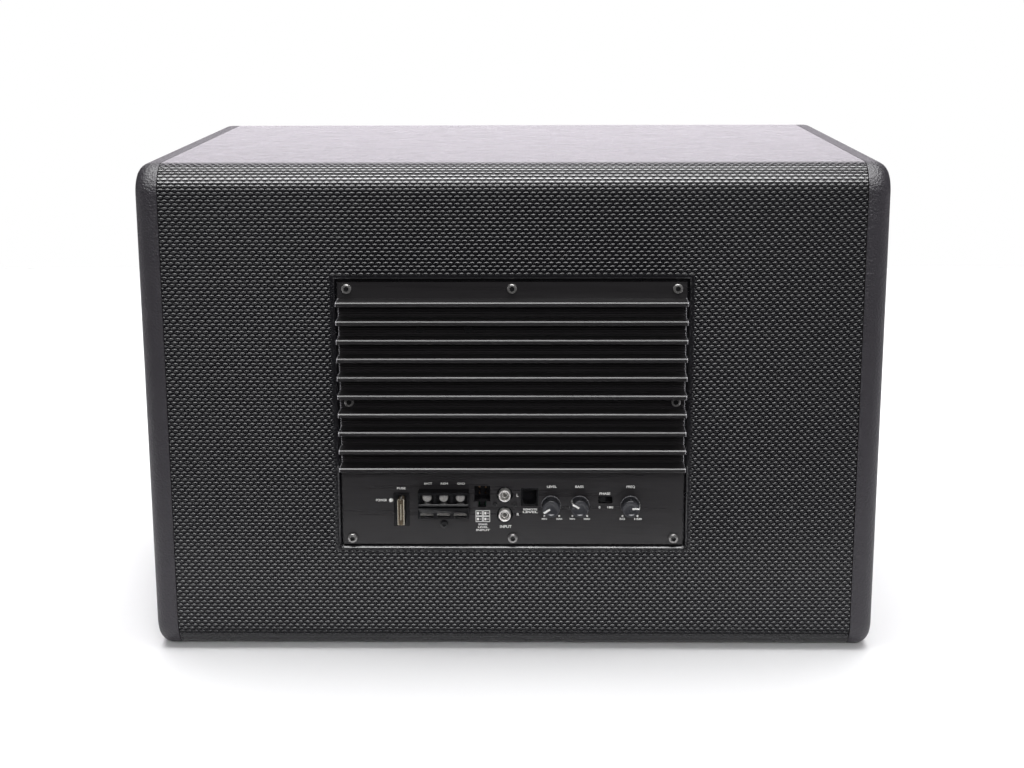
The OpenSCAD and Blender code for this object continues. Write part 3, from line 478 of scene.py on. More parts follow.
def copies(piece, places):
    """The piece's shape at each place, each with its own mesh. The shape is drawn at the origin."""
    made = []
    for place in places:
        twin = piece.copy()
        twin.data = piece.data.copy()
        bpy.context.collection.objects.link(twin)
        made.append(rest(twin, place))
    bpy.data.objects.remove(piece)
    return made


def block(size, centre=(0, 0, 0), radius=0.0, segments=3, sides=None):
    """A box round a centre, with rounded edges. Sides names the one axis whose edges are rounded."""
    bpy.ops.mesh.primitive_cube_add(size=1, location=centre, scale=size)
    piece = rest(bpy.context.object)
    if radius and sides is None:
        modify(piece, "BEVEL", width=radius, segments=segments, limit_method="ANGLE")
    elif radius:
        pick(piece, lambda c, e, ends: abs(abs((ends[0] - ends[1])[sides]) - size[sides]) < 1e-6, "EDGE")
        bpy.ops.mesh.bevel(offset=radius, segments=segments, affect="EDGES")
        rest(piece)
    return piece


def arc(x, z, radius, start, end, steps):
    """Points of an arc about (x, z), in degrees from the +X direction."""
    turns = [math.radians(start + (end - start) * i / steps) for i in range(steps + 1)]
    return [(x + radius * math.cos(t), z + radius * math.sin(t)) for t in turns]


def turned(profile, steps=64, closed=True):
    """Spins a profile of (radius, height) points in millimetres round the Z axis."""
    bpy.ops.object.select_all(action="DESELECT")
    bpy.ops.mesh.primitive_plane_add(size=MM)
    piece = bpy.context.object
    bpy.ops.object.mode_set(mode="EDIT")
    bpy.context.tool_settings.mesh_select_mode = (True, False, False)
    bpy.ops.mesh.select_all(action="SELECT")
    bpy.ops.mesh.merge(type="CENTER")
    points = [Vector((r * MM, 0, z * MM)) for r, z in profile]
    bpy.ops.transform.translate(value=points[0])
    for before, after in zip(points, points[1:]):
        bpy.ops.mesh.extrude_region_move(TRANSFORM_OT_translate={"value": after - before})
    if closed:
        bpy.ops.mesh.extrude_region_move(TRANSFORM_OT_translate={"value": points[0] - points[-1]})
    bpy.ops.mesh.select_all(action="SELECT")
    bpy.ops.mesh.remove_doubles(threshold=0.0005 * MM)
    bpy.ops.mesh.select_all(action="SELECT")
    bpy.ops.mesh.spin(steps=steps, angle=2 * math.pi, center=(0, 0, 0), axis=(0, 0, 1))
    bpy.ops.mesh.select_all(action="SELECT")
    bpy.ops.mesh.remove_doubles(threshold=0.0005 * MM)
    bpy.ops.mesh.select_all(action="SELECT")
    bpy.ops.mesh.normals_make_consistent(inside=False)
    bpy.ops.object.mode_set(mode="OBJECT")
    return piece


def on_plate(x=0.0, up=0.0, out=0.0, turn=0.0):
    """A place on the amplifier's plate in millimetres, with local Z outwards and local Y upwards."""
    spot = Vector((x * MM, PLATE_Y - out * MM, PLATE_LOW.z + up * MM))
    upright = Matrix.Rotation(math.pi / 2, 4, "X")
    return Matrix.Translation(spot) @ upright @ Matrix.Rotation(math.radians(turn), 4, "Z")


def on_baffle(x):
    """The woofer face at that place along the box, with local Z outwards."""
    return Matrix.Translation((x, WOOFER_Y, MIDDLE_Z)) @ Matrix.Rotation(-math.pi / 2, 4, "X")


def finish_piece(name, piece, body, slot, nodes=(), finish=None, angle=35):
    """Names a piece, shades it, gives it its finish unless told not to, hangs it under its body and hides the
    frame nodes it stands for.
    """
    piece.name = name
    piece.data.name = name
    soften(piece, angle)
    if finish is not False:
        paint(piece, finish or slot)
    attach(piece, body)
    if nodes:
        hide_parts(*nodes)
    return piece


class Maker(bpy.types.Operator):
    """A piece of the subwoofer"""

    bl_options = {"REGISTER", "UNDO"}

    def execute(self, context):
        self.make()
        return {"FINISHED"}


class SUBWOOFER_OT_finishes(Maker):
    """Make the finishes and give one to each node of the frame"""

    bl_idname = "subwoofer.finishes"
    bl_label = "Finishes"

    def make(self):
        make_finishes()
        for entry in frame["record"]["subparts"]:
            paint(frame["nodes"][entry["node"]], entry["material_slot"])


# Cabinet


def unroll(piece):
    """Lays the wrap out flat: U runs along the box and V round it, both in metres."""
    flat_y = WRAP_HIGH.y - EDGE_R
    flat_z = (WRAP_HIGH.z - WRAP_LOW.z) / 2 - EDGE_R
    bend = EDGE_R * math.pi / 2
    layer = piece.data.uv_layers.new(name="Unrolled")
    for face in piece.data.polygons:
        mid_y, mid_z = face.center.y, face.center.z - MIDDLE_Z
        for loop in face.loop_indices:
            x, y, z = piece.data.vertices[piece.data.loops[loop].vertex_index].co
            z -= MIDDLE_Z
            in_y, in_z = abs(mid_y) > flat_y, abs(mid_z) > flat_z
            side_y, side_z = math.copysign(1, mid_y), math.copysign(1, mid_z)
            if not in_y:
                v = side_z * (flat_z + bend + flat_y + y)
            elif in_z:
                v = side_z * (flat_z + math.atan2(abs(z) - flat_z, abs(y) - flat_y) * EDGE_R)
            else:
                v = z
            if in_y and side_y > 0:
                v = 2 * (flat_z + bend + flat_y) - v
            layer.data[loop].uv = (x, v)


class SUBWOOFER_OT_wrap(Maker):
    """Embossed vinyl that is folded round the box and turned into the amplifier's recess"""

    bl_idname = "subwoofer.wrap"
    bl_label = "Vinyl wrap"

    def make(self):
        own = settings("cabinet")
        size = WRAP_HIGH - WRAP_LOW
        centre = (WRAP_HIGH + WRAP_LOW) / 2
        piece = block(size, centre, own.edge_radius, 12, sides=0)
        pick(piece, lambda c, f, ends: abs(c.x) > WRAP_HIGH.x - MM)
        bpy.ops.mesh.delete(type="FACE")
        gap = 1.2 * MM
        half_w = PLATE_HIGH.x + gap
        low, high = PLATE_LOW.z - gap, PLATE_HIGH.z + gap
        face_y = WRAP_LOW.y
        edges = [((x, 0, 0), (1, 0, 0)) for x in (half_w, -half_w)]
        edges += [((0, 0, z), (0, 0, 1)) for z in (low, high)]
        for spot, normal in edges:
            pick(piece, lambda c, f, ends: c.y < face_y + MM)
            bpy.ops.mesh.bisect(plane_co=spot, plane_no=normal)
        inside = lambda c: abs(c.x) < half_w and low < c.z < high and c.y < face_y + 8 * MM
        pick(piece, lambda c, f, ends: inside(c))
        bpy.ops.mesh.extrude_region_move(TRANSFORM_OT_translate={"value": (0, 5.2 * MM, 0)})
        bpy.ops.mesh.inset(thickness=1.1 * MM)
        bpy.ops.mesh.delete(type="FACE")
        near = 0.01 * MM

        def rim(c, e, ends):
            on_side = all(abs(abs(p.x) - half_w) < near for p in ends)
            on_level = all(min(abs(p.z - low), abs(p.z - high)) < near for p in ends)
            held = all(low - near < p.z < high + near and abs(p.x) < half_w + near for p in ends)
            return (on_side or on_level) and held and all(p.y < face_y + near for p in ends)

        pick(piece, rim, "EDGE")
        bpy.ops.mesh.bevel(offset=own.turn_in_radius, segments=8, affect="EDGES")
        modify(piece, "SOLIDIFY", thickness=own.wrap_thickness, offset=-1)
        bpy.ops.mesh.primitive_cylinder_add(vertices=128, radius=131.3 * MM, depth=40 * MM)
        woofer_hole = rest(bpy.context.object, on_baffle(WOOFER_X))
        bpy.ops.mesh.primitive_cylinder_add(vertices=96, radius=45.5 * MM, depth=40 * MM)
        port_hole = rest(bpy.context.object, on_baffle(PORT_X))
        cut(piece, woofer_hole, port_hole)
        folds = []
        for side in (-1, 1):
            for i, (out, down) in enumerate(((0.2, 0.3), (1.5, -0.9), (2.9, 1.0))):
                fold = block((3.4 * MM, 0.9 * MM, 0.9 * MM), (0, 0, 0), 0.42 * MM, 4)
                spot = Vector((side * (half_w + out * MM), face_y + (0.25 + 0.1 * i) * MM, low - down * MM))
                lean = Matrix.Rotation(side * (0.6 + 0.5 * i), 4, "Y")
                folds.append(rest(fold, Matrix.Translation(spot) @ lean))
        piece = join("vinyl_skin", piece, *folds)
        unroll(piece)
        finish_piece("vinyl_skin", piece, "cabinet", "vinyl", ["vinyl_wrap"], angle=30)


class SUBWOOFER_OT_end_caps(Maker):
    """Moulded end caps with a rounded outer rim and a pocket in the inner face"""

    bl_idname = "subwoofer.end_caps"
    bl_label = "End caps"

    def make(self):
        own = settings("cabinet")
        for side, name in ((-1, "left"), (1, "right")):
            size = CAP_HIGH - CAP_LOW
            deep = 16 * MM
            outer = CAP_HIGH.x
            size.x = deep
            piece = block(size, ((outer - deep / 2), 0, MIDDLE_Z), own.edge_radius, 12, sides=0)
            pick(piece, lambda c, e, ends: all(p.x > outer - 1e-6 for p in ends), "EDGE")
            bpy.ops.mesh.bevel(offset=own.cap_rim, segments=7, affect="EDGES")
            pick(piece, lambda c, f, ends: all(p.x < outer - deep + 1e-6 for p in ends))
            bpy.ops.mesh.inset(thickness=3 * MM)
            pocket = (deep - own.cap_rim + 2 * MM, 0, 0)
            bpy.ops.mesh.extrude_region_move(TRANSFORM_OT_translate={"value": pocket})
            rest(piece)
            sharp = math.radians(60)
            modify(piece, "BEVEL", width=0.4 * MM, segments=2, limit_method="ANGLE", angle_limit=sharp)
            if side < 0:
                pick(piece, lambda c, f, ends: True)
                bpy.ops.transform.resize(value=(-1, 1, 1), center_override=(0, 0, 0))
                bpy.ops.mesh.flip_normals()
                rest(piece)
            finish_piece(name + "_cap", piece, "cabinet", "cap_plastic", [name + "_end_cap"], angle=40)


# Amplifier plate


def socket_screw(head_r, head_h, shank_r, shank):
    """A domed screw with a hexagon socket, in millimetres, drawn at the origin with its head outwards."""
    dome = arc(head_r - head_h * 0.4, head_h * 0.6, head_h * 0.4, 0, 80, 5)
    profile = [(0, -shank), (shank_r - 0.3, -shank), (shank_r, -shank + 0.5), (shank_r, 0)]
    profile += [(head_r * 0.98, 0)]
    piece = turned(profile + dome + [(0, head_h)], steps=32, closed=False)
    bpy.ops.mesh.primitive_cylinder_add(
        vertices=6, radius=head_r * 0.54 * MM, depth=head_h * 1.5 * MM, location=(0, 0, head_h * MM))
    cut(piece, bpy.context.object)
    return piece


class SUBWOOFER_OT_screws(Maker):
    """The screws of the plate, of the transistor clamp, of the terminal block and of the jacks"""

    bl_idname = "subwoofer.screws"
    bl_label = "Plate screws"

    def make(self):
        low, high, mid_x = 4.4, 179.1, 110.8
        spots = [(x, up) for x in (-mid_x, 0, mid_x) for up in (low, high)]
        side_up = 183.5 - 11.1 - 5.5 * 12.65 - 1.5
        spots += [(-mid_x, side_up), (mid_x, side_up)]
        screw = socket_screw(3.4, 2.6, 1.9, 14)
        paint(screw, "steel_screw")
        # The faces inside the hexagon socket get the black finish as painted shade, the dark of the deep
        # socket.
        pick(screw, lambda c, f, ends: Vector((c.x, c.y)).length < 1.9 * MM and 0.3 * MM < c.z < 2.5 * MM)
        trim(screw, "black_screw")
        parts = copies(screw, [on_plate(x, up, turn=x * 7 + up * 3) for x, up in spots])
        piece = join("cap_screws", *parts)
        finish_piece("cap_screws", piece, "cabinet", "steel_screw", ["plate_screws"], finish=False)
        small = socket_screw(2.7, 2.0, 1.4, 11.4)
        clamp_up = 183.5 - 11.1 - 1.5 * 12.65 - 1.5
        parts = copies(small, [on_plate(-45.7 + side * 16, clamp_up, turn=20 * side) for side in (-1, 1)])
        finish_piece("small_screws", join("small_screws", *parts), "cabinet", "black_screw", ["clamp_screws"])
        block_screw = copies(socket_screw(2.7, 1.8, 1.4, 7.4), [on_plate(-47.3, 30 - 9.2 - 6.5)])
        finish_piece("block_screw", block_screw[0], "cabinet", "black_screw", ["terminal_block_screw"])
        jack = socket_screw(1.7, 1.0, 0.9, 7.4)
        parts = copies(jack, [on_plate(-5.5 + side * 6.7, 28.3, turn=25) for side in (-1, 1)])
        finish_piece("jack_screws", join("jack_screws", *parts), "cabinet", "black_screw", ["jack_screws"])


class SUBWOOFER_OT_knobs(Maker):
    """Knobs with a dished end and a white pointer, each on its own control"""

    bl_idname = "subwoofer.knobs"
    bl_label = "Knobs"

    def make(self):
        for name, x, turn in (("level", 26.4, -119), ("bass", 46.0, -56), ("freq", 80.8, 87)):
            profile = [(0, -8), (2.7, -8), (3.0, -7.7), (3.0, 1.0)]
            profile += [(6.3, 1.0), (6.7, 1.3), (6.7, 2.0), (6.45, 2.5)]
            profile += [(5.95, 10.2)] + arc(5.35, 10.9, 0.6, 10, 90, 4) + [(4.75, 11.5), (4.45, 11.35)]
            profile += [(4.1, 10.85), (3.6, 10.6), (2.2, 10.5), (0, 10.48)]
            dial = turned(profile, steps=72, closed=False)
            paint(dial, "knob_plastic")
            pick(dial, lambda c, f, ends: Vector((c.x, c.y)).length > 6.35 * MM and c.z < 2.4 * MM)
            trim(dial, "knob_rim")
            side = [(0.9, 10.3), (0.9, 10.72), (3.5, 10.85), (4.1, 11.3)]
            side += [(4.7, 11.62), (5.4, 11.6), (6.0, 11.1)]
            side += [(6.12, 10.2), (6.75, 2.7), (6.3, 2.7), (5.7, 10.2), (4.6, 10.3)]
            bar = turned_strip(side, 1.3)
            paint(bar, "white_print")
            whole = join(name + "_dial", dial, bar)
            rest(whole, on_plate(x, 28.5, turn=-turn))
            knob = name + "_knob"
            finish_piece(name + "_dial", whole, knob, "knob_plastic", [knob], finish=False, angle=40)


def turned_strip(profile, wide):
    """A strip of that width with a profile of (out along local Y, height) points, in millimetres."""
    bpy.ops.object.select_all(action="DESELECT")
    bpy.ops.mesh.primitive_circle_add(vertices=len(profile), radius=MM, fill_type="NGON")
    piece = bpy.context.object
    for point, (along, up) in zip(piece.data.vertices, profile):
        point.co = (-wide / 2 * MM, along * MM, up * MM)
    pick(piece, lambda c, f, ends: True)
    bpy.ops.mesh.extrude_region_move(TRANSFORM_OT_translate={"value": (wide * MM, 0, 0)})
    bpy.ops.mesh.select_all(action="SELECT")
    bpy.ops.mesh.normals_make_consistent(inside=False)
    return rest(piece)


class SUBWOOFER_OT_light(Maker):
    """Domed lens of the power light"""

    bl_idname = "subwoofer.light"
    bl_label = "Power light"

    def make(self):
        profile = [(0, -18), (1.9, -18), (1.9, -4), (1.5, -4), (1.5, 0.1)] + arc(0, 0.1, 1.5, 0, 90, 8)
        lens = turned(profile, steps=32, closed=False)
        rest(lens, on_plate(-83.8, 31.6))
        finish_piece("lamp_lens", lens, "cabinet", "light_lens", ["power_led"], angle=60)


class SUBWOOFER_OT_fuse(Maker):
    """Blade fuse with a clear body"""

    bl_idname = "subwoofer.fuse"
    bl_label = "Fuse"

    def make(self):
        grip = block((5.1 * MM, 19.1 * MM, 2.6 * MM), (0, 0, 6.7 * MM), 0.9 * MM, 4)
        stem = block((4.1 * MM, 17.5 * MM, 11.4 * MM), (0, 0, 0.7 * MM), 0.5 * MM, 3)
        body = join("fuse_shell", stem, grip)
        modify(body, "REMESH", mode="VOXEL", voxel_size=0.22 * MM)
        window = block((1.5 * MM, 12.5 * MM, 3.4 * MM), (0, 0, 8.2 * MM), 0.5 * MM, 3)
        slots = [block((0.8 * MM, 5.3 * MM, 8.2 * MM), (0, side * 6.7 * MM, -1.1 * MM)) for side in (-1, 1)]
        cut(body, window, *slots)
        paint(body, "fuse_body")
        # The two pale bars along the grip's side edges are painted highlight; the bar along the middle lies in
        # the top window.
        bar_size = (0.7 * MM, 17.6 * MM, 0.9 * MM)
        bars = [block(bar_size, (side * 2.05 * MM, 0, 7.7 * MM), 0.3 * MM, 3) for side in (-1, 1)]
        bars.append(block((0.8 * MM, 11.6 * MM, 1.1 * MM), (0, 0, 7.1 * MM), 0.35 * MM, 3))
        for bar in bars:
            paint(bar, "fuse_window_bar_and_highlight")
        body = join("fuse_shell", body, *bars)
        rest(body, on_plate(-76.5, 25))
        finish_piece("fuse_shell", body, "fuse", "fuse_body", ["fuse"], finish=False, angle=50)


class SUBWOOFER_OT_terminals(Maker):
    """Terminal block with screw pockets above and wire entries below, and its screws"""

    bl_idname = "subwoofer.terminals"
    bl_label = "Terminal block"

    def make(self):
        pitch, front = 11.4, 9.0
        body = block((34.6 * MM, 18.4 * MM, 27 * MM), (0, 0, (front - 13.5) * MM))
        tab = block((10 * MM, 10.5 * MM, 3.4 * MM), (0, -11.2 * MM, -5.75 * MM), 0.5 * MM)
        body = join("terminal_housing", body, tab)
        cutters = []
        for i in (-1, 0, 1):
            x = i * pitch * MM
            cutters.append(block((9.6 * MM, 6.4 * MM, 9 * MM), (x, 4.2 * MM, 5.5 * MM), 0.25 * MM))
            cutters.append(block((9.6 * MM, 3.6 * MM, 10 * MM), (x, -6.8 * MM, 5 * MM), 1.5 * MM, 4))
        cutters.append(block((33 * MM, 7.9 * MM, 4 * MM), (0, 3.45 * MM, (front + 0.4) * MM)))
        cutters.append(block((40 * MM, 1.7 * MM, 8 * MM), (0, -1.35 * MM, 9.5 * MM)))
        slope = [(-2.1, front + 2), (-2.1, front - 1.6), (-5.2, front + 0.02), (-5.2, front + 2)]
        cutters.append(turned_strip(slope, 40))
        for cutter in cutters:
            cut(body, cutter)
        bpy.ops.mesh.primitive_cylinder_add(
            vertices=24, radius=1.45 * MM, depth=12 * MM, location=(0, -15.7 * MM, -5.75 * MM))
        cut(body, bpy.context.object)
        modify(body, "BEVEL", width=0.22 * MM, segments=2, limit_method="ANGLE", angle_limit=math.radians(50))
        lip = block((34.4 * MM, 1.6 * MM, 3 * MM), (0, 0.3 * MM, (front - 1.5) * MM), 0.7 * MM, 4)
        body = join("terminal_housing", body, lip)
        rest(body, on_plate(-47.3, 30))
        finish_piece("terminal_housing", body, "cabinet", "black_plastic", ["terminal_block"], angle=28)
        profile = [(0, -6), (1.7, -6), (1.7, 1), (3.1, 1), (3.1, 2.6)]
        profile += arc(2.3, 2.6, 0.8, 0, 75, 4) + [(0, 3.5)]
        screw = turned(profile, steps=32, closed=False)
        for turn in (0, 90):
            slot = block((7 * MM, 0.9 * MM, 2 * MM), (0, 0, 3.4 * MM))
            rest(slot, Matrix.Rotation(math.radians(turn), 4, "Z"))
            cut(screw, slot)
        parts = copies(screw, [on_plate(-47.3 + i * pitch, 34.2, turn=17 + 31 * i) for i in (-1, 0, 1)])
        piece = join("clamping_screws", *parts)
        finish_piece("clamping_screws", piece, "cabinet", "bright_metal", ["terminal_screws"])


class SUBWOOFER_OT_jacks(Maker):
    """Bright shells of the two phono jacks"""

    bl_idname = "subwoofer.jacks"
    bl_label = "Phono jacks"

    def make(self):
        lip = arc(3.85, 3.2, 0.3, 0, 90, 3) + arc(3.35, 3.2, 0.3, 90, 180, 3)
        shell = turned([(3.85, -10), (3.85, -4), (4.15, -4)] + lip + [(3.05, -10)], steps=48)
        parts = copies(shell, [on_plate(-5.5, 28.3 + side * 7.05) for side in (-1, 1)])
        piece = join("jack_shells", *parts)
        finish_piece("jack_shells", piece, "cabinet", "bright_metal", ["phono_shells"], angle=50)


def word(text, x, z, high, wide=None):
    """A printed word on the plate, centred on a place in millimetres."""
    bpy.ops.object.select_all(action="DESELECT")
    bpy.ops.object.text_add()
    label = bpy.context.object
    label.data.body = text
    label.data.size = high * 1.4 * MM
    label.data.align_x = "CENTER"
    label.data.align_y = "CENTER"
    label.data.extrude = settings("amplifier").print_thickness / 2
    label.data.offset = 0.05 * MM
    bpy.ops.object.convert(target="MESH")
    label = bpy.context.object
    if wide:
        span = max(v.co.x for v in label.data.vertices) - min(v.co.x for v in label.data.vertices)
        label.scale = (wide * MM / span, 1, 1)
        rest(label)
    return rest(label, on_plate(x, z - PLATE_LOW.z / MM, 0.05))


def mark(x, z, wide, high, turn=0.0):
    """A printed bar on the plate, centred on a place in millimetres."""
    thick = settings("amplifier").print_thickness
    bar = block((wide * MM, high * MM, thick), (0, 0, 0), min(wide, high) * 0.3 * MM, 2, sides=2)
    return rest(bar, on_plate(x, z - PLATE_LOW.z / MM, 0.05, turn))


class SUBWOOFER_OT_legends(Maker):
    """Plain printed words, dots and frames on the plate"""

    bl_idname = "subwoofer.legends"
    bl_label = "Legends"

    def make(self):
        words = [
            ("POWER", -90.4, 109.7, 1.7, 7.6), ("FUSE", -76.6, 118.2, 1.5, 6.0),
            ("BATT", -58.1, 121.6, 1.4, 5.4), ("REM", -46.9, 121.6, 1.4, 5.0),
            ("GND", -35.4, 121.6, 1.4, 5.2),
            ("LEVEL", 26.9, 119.4, 1.6, 6.8), ("BASS", 45.8, 119.4, 1.6, 5.8),
            ("PHASE", 63.3, 114.5, 1.7, 7.4),
            ("FREQ", 81.0, 119.4, 1.6, 5.8), ("L", 3.3, 113.2, 2.0, None), ("R", 3.5, 99.5, 2.0, None),
            ("INPUT", -4.9, 90.7, 2.0, 8.0), ("SPEAKER", -20.6, 92.3, 1.2, 6.4),
            ("LEVEL", -20.6, 90.3, 1.2, 7.0),
            ("INPUT", -20.6, 88.2, 1.4, 9.4), ("REMOTE", 12.0, 103.1, 1.3, 9.6),
            ("LEVEL", 12.0, 101.2, 1.3, 10.2),
            ("MIN", 21.8, 96.3, 1.2, 3.6), ("MAX", 32.1, 96.3, 1.2, 4.2), ("MIN", 41.1, 96.3, 1.2, 3.6),
            ("MAX", 51.2, 96.3, 1.2, 4.6), ("50", 75.4, 96.3, 1.4, 3.8), ("150", 86.0, 96.3, 1.4, 5.0),
            ("0", 59.8, 104.7, 1.6, None), ("180", 66.9, 104.7, 1.4, 4.0),
        ]
        parts = [word(*entry) for entry in words]
        for x in (21.8, 32.1, 41.1, 51.3, 75.6, 85.9):
            parts.append(mark(x, 98.5, 1.2, 1.2))
        for i in (-1, 1):
            for j in (-1, 1):
                x, z = -20.6 + i * 2.55, 98.3 + j * 2.1
                parts += [mark(x, z + side * 1.85, 4.8, 0.45) for side in (-1, 1)]
                parts += [mark(x + side * 2.2, z, 0.45, 3.9) for side in (-1, 1)]
                parts.append(mark(x - 0.8, z, 1.5, 1.9))
                parts.append(mark(x + 1.0, z, 1.1, 0.45))
                if i > 0:
                    parts.append(mark(x + 1.0, z, 0.45, 1.1))
        finish_piece("plate_legends", join("plate_legends", *parts), "cabinet", "white_print")


# Woofer and port


class SUBWOOFER_OT_woofer(Maker):
    """Trim ring, surround, cone, dust cap and screws of the woofer"""

    bl_idname = "subwoofer.woofer"
    bl_label = "Woofer"

    def make(self):
        place = on_baffle(WOOFER_X)
        trim = [(108.05, -1.45), (108.05, 0.2)] + arc(108.9, 0.2, 0.8, 180, 90, 4)
        trim += arc(116.2, -0.3, 1.3, 90, 0, 5) + [(117.5, -1.45)]
        piece = rest(turned(trim, steps=128), place)
        finish_piece("trim_bead", piece, "cabinet", "trim_rubber", ["woofer_trim_ring"], angle=50)
        roll = settings("woofer").roll_radius / MM
        outside = arc(100, -2.5, roll, 171.8, 8.2, 18)
        inside = arc(100, -2.5, roll - 1, 0.5, 179.5, 18)
        skin = [(88, -1.5)] + outside + [(117.4, -1.5), (117.4, -2.45)] + inside + [(88, -2.45)]
        piece = rest(turned(skin, steps=128), place)
        piece.name = "rubber_surround"
        soften(piece, 50)
        paint(piece, "trim_rubber")
        middle = Vector((WOOFER_X, WOOFER_Y, MIDDLE_Z))
        outer, inner = (middle + Vector((radius * MM, 0, 0)) for radius in (107, 93))
        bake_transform(piece, "cabinet", "cone", start=outer, end=inner)
        weights = piece.data.attributes["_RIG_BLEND"].data
        for point, weight in zip(piece.data.vertices, weights):
            out = (Vector((point.co.x, 0, point.co.z)) - Vector((WOOFER_X, 0, MIDDLE_Z))).length
            share = min(1.0, max(0.0, (0.1065 - out) / 0.013))
            weight.value = share * share * (3 - 2 * share)
        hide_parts("surround")
        slope = (42.5 - 1.8) / 62.45
        top = lambda r: -43.2 + (r - 25.05) * slope
        skin = [(25.05, -45), (25.05, -43.2)]
        for rib in (48, 60, 72):
            skin += [(rib - 1.4, top(rib - 1.4)), (rib - 0.5, top(rib) + 0.6)]
            skin += [(rib + 0.5, top(rib) + 0.9), (rib + 1.4, top(rib + 1.4))]
        skin += [(86.5, top(86.5)), (88, -2.5), (93, -2.5), (93, -3.7), (88.5, -3.7)]
        piece = rest(turned(skin, steps=128), place)
        finish_piece("ribbed_cone", piece, "cone", "cone_pulp", ["cone"], angle=25)
        edge = top(36)
        dome = arc(0, edge + 12 - 60, 60, 90 - math.degrees(math.asin(36 / 60)), 90, 14)
        under = arc(0, edge + 12 - 60, 59.2, 90, 90 - math.degrees(math.asin(35.4 / 59.2)), 14)
        piece = rest(turned([(36, edge + 0.05)] + dome + under, steps=96), place)
        finish_piece("dust_dome", piece, "cone", "cone_pulp", ["dust_cap"], angle=60)
        screw = socket_screw(4.5, 3.0, 2.4, 15)
        out = Matrix.Translation((124.5 * MM, 0, 0))
        ring = [place @ Matrix.Rotation(math.radians(45 * i + 22.5), 4, "Z") @ out for i in range(8)]
        parts = copies(screw, ring)
        piece = join("frame_screws", *parts)
        finish_piece("frame_screws", piece, "cabinet", "black_screw", ["woofer_screws"])


class SUBWOOFER_OT_port(Maker):
    """Flared port tube"""

    bl_idname = "subwoofer.port"
    bl_label = "Port"

    def make(self):
        profile = [(35, -150), (35, -60), (35, -13)] + arc(50.5, -13, 15.5, 180, 90, 14) + [(54.0, 2.5)]
        profile += arc(54.3, 1.3, 1.2, 80, 0, 4)
        profile += [(55.5, 0), (45.1, 0), (45.1, -22.2), (37.5, -22.2), (37.5, -150)]
        piece = rest(turned(profile, steps=96), on_baffle(PORT_X))
        finish_piece("flared_port", piece, "cabinet", "black_plastic", ["port_tube"], angle=50)


# Stage


def lamp(name, spot, aim, wide, high, watts, tint=(1, 1, 1)):
    """A soft rectangular light that points at a place."""
    bpy.ops.object.light_add(type="AREA", location=spot)
    light = bpy.context.object
    light.name = name
    light.data.shape = "RECTANGLE"
    light.data.size = wide
    light.data.size_y = high
    light.data.energy = watts
    light.data.color = tint
    light.rotation_euler = (Vector(aim) - Vector(spot)).to_track_quat("-Z", "Y").to_euler()
    return light


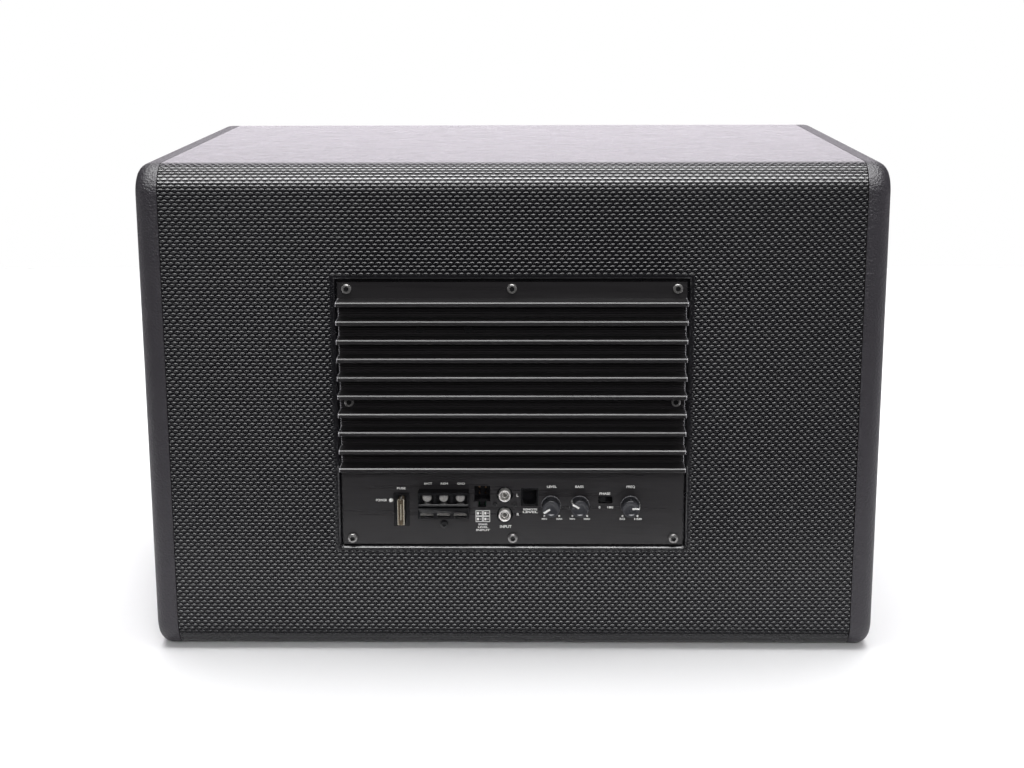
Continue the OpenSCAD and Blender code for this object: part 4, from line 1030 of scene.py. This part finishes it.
class SUBWOOFER_OT_stage(Maker):
    """Pale floor, soft light and the camera"""

    bl_idname = "subwoofer.stage"
    bl_label = "Stage"

    def make(self):
        own = settings("stage")
        floor = block((3.2, 1.92, 2 * MM), (0, 0.54, -MM))
        floor.name = "floor"
        finish = Finish("pale_floor", own.floor_colour, 0.7)
        finish.set("Roughness", finish.spread(finish.noise(0.3), 0.3, 0.7, 0.65, 0.75))
        floor.data.materials.append(finish.material)
        world = bpy.data.worlds.new("studio")
        bpy.context.scene.world = world
        world.use_nodes = True
        nodes, links = world.node_tree.nodes, world.node_tree.links
        way = nodes.new("ShaderNodeSeparateXYZ")
        links.new(nodes.new("ShaderNodeTexCoord").outputs["Generated"], way.inputs[0])
        total = nodes["Background"].inputs["Strength"]
        glows = (("Y", 0.84, 0.96, own.back_light), ("X", 0.82, 0.98, own.side_light))
        for axis, low, high, strength in glows:
            far = nodes.new("ShaderNodeMath")
            far.operation = "ABSOLUTE" if axis == "X" else "ADD"
            links.new(way.outputs[axis], far.inputs[0])
            far.inputs[1].default_value = 0
            ramp = nodes.new("ShaderNodeMapRange")
            ramp.interpolation_type = "SMOOTHSTEP"
            links.new(far.outputs[0], ramp.inputs[0])
            for socket, value in zip(ramp.inputs[1:5], (low, high, 0, strength)):
                socket.default_value = value
            add = nodes.new("ShaderNodeMath")
            add.operation = "ADD"
            add.inputs[1].default_value = own.dim_light
            if total.links:
                links.new(total.links[0].from_socket, add.inputs[1])
            links.new(ramp.outputs[0], add.inputs[0])
            links.new(add.outputs[0], total)
        nodes["Background"].inputs["Color"].default_value = (0.98, 0.92, 1.0, 1)
        plain = nodes.new("ShaderNodeBackground")
        plain.inputs["Color"].default_value = (1, 1, 1, 1)
        shown = nodes.new("ShaderNodeMixShader")
        links.new(nodes.new("ShaderNodeLightPath").outputs["Is Camera Ray"], shown.inputs[0])
        links.new(nodes["Background"].outputs[0], shown.inputs[1])
        links.new(plain.outputs[0], shown.inputs[2])
        links.new(shown.outputs[0], nodes["World Output"].inputs["Surface"])
        lamp("top_light", (0, -1.15, 2.0), (0, -0.2, 0.3), 1.7, 1.25, own.top_light).visible_diffuse = False
        lamp("roof_light", (0, 0.3, 2.3), (0, -0.1, 0.3), 1.5, 1.5, own.roof_light).visible_diffuse = False
        lamp("floor_light", (0, 0.45, 2.6), (0, 0.45, 0), 3, 3, own.floor_light).visible_glossy = False
        lamp("front_light", (0.3, -2.2, 1.0), (0, -0.2, 0.15), 0.8, 0.8, own.front_light).visible_glossy = False
        camera = bpy.data.objects.new("camera", bpy.data.cameras.new("camera"))
        bpy.context.collection.objects.link(camera)
        camera.data.lens = own.lens
        camera.data.sensor_width = 36
        pan, look_down, lean = (math.radians(angle) for angle in (0.853, 13.078, -0.193))
        turn = Matrix.Rotation(pan, 4, "Z") @ Matrix.Rotation(math.pi / 2 - look_down, 4, "X")
        roll = Matrix.Rotation(lean, 4, "Z")
        camera.matrix_world = Matrix.Translation((0.0166, -1.3001, 0.4537)) @ turn @ roll
        bpy.context.scene.camera = camera
        bpy.context.scene.view_settings.view_transform = "Standard"


OPERATORS = (
    SUBWOOFER_OT_finishes, SUBWOOFER_OT_wrap, SUBWOOFER_OT_end_caps, SUBWOOFER_OT_screws, SUBWOOFER_OT_knobs,
    SUBWOOFER_OT_light, SUBWOOFER_OT_fuse, SUBWOOFER_OT_terminals, SUBWOOFER_OT_jacks, SUBWOOFER_OT_legends,
    SUBWOOFER_OT_woofer, SUBWOOFER_OT_port, SUBWOOFER_OT_stage,
)
GROUPS = {
    "cabinet": CabinetSettings, "amplifier": AmplifierSettings,
    "woofer": WooferSettings, "stage": StageSettings,
}


class SUBWOOFER_PT_panel(bpy.types.Panel):
    """Lists the settings and the makers of the pieces"""

    bl_label = "Subwoofer"
    bl_idname = "SUBWOOFER_PT_panel"
    bl_space_type = "VIEW_3D"
    bl_region_type = "UI"
    bl_category = "Subwoofer"

    def draw(self, context):
        for part, group in GROUPS.items():
            box = self.layout.box()
            box.label(text=part.capitalize())
            for name in group.__annotations__:
                box.prop(settings(part), name)
        for operator in OPERATORS:
            self.layout.operator(operator.bl_idname)


def register():
    for part, group in GROUPS.items():
        bpy.utils.register_class(group)
        setattr(bpy.types.Scene, "subwoofer_" + part, PointerProperty(type=group))
    for operator in OPERATORS:
        bpy.utils.register_class(operator)
    bpy.utils.register_class(SUBWOOFER_PT_panel)


def unregister():
    bpy.utils.unregister_class(SUBWOOFER_PT_panel)
    for operator in reversed(OPERATORS):
        bpy.utils.unregister_class(operator)
    for part, group in GROUPS.items():
        delattr(bpy.types.Scene, "subwoofer_" + part)
        bpy.utils.unregister_class(group)


def main():
    register()
    for operator in OPERATORS:
        group, name = operator.bl_idname.split(".")
        getattr(getattr(bpy.ops, group), name)()


if __name__ == "__main__":
    main()
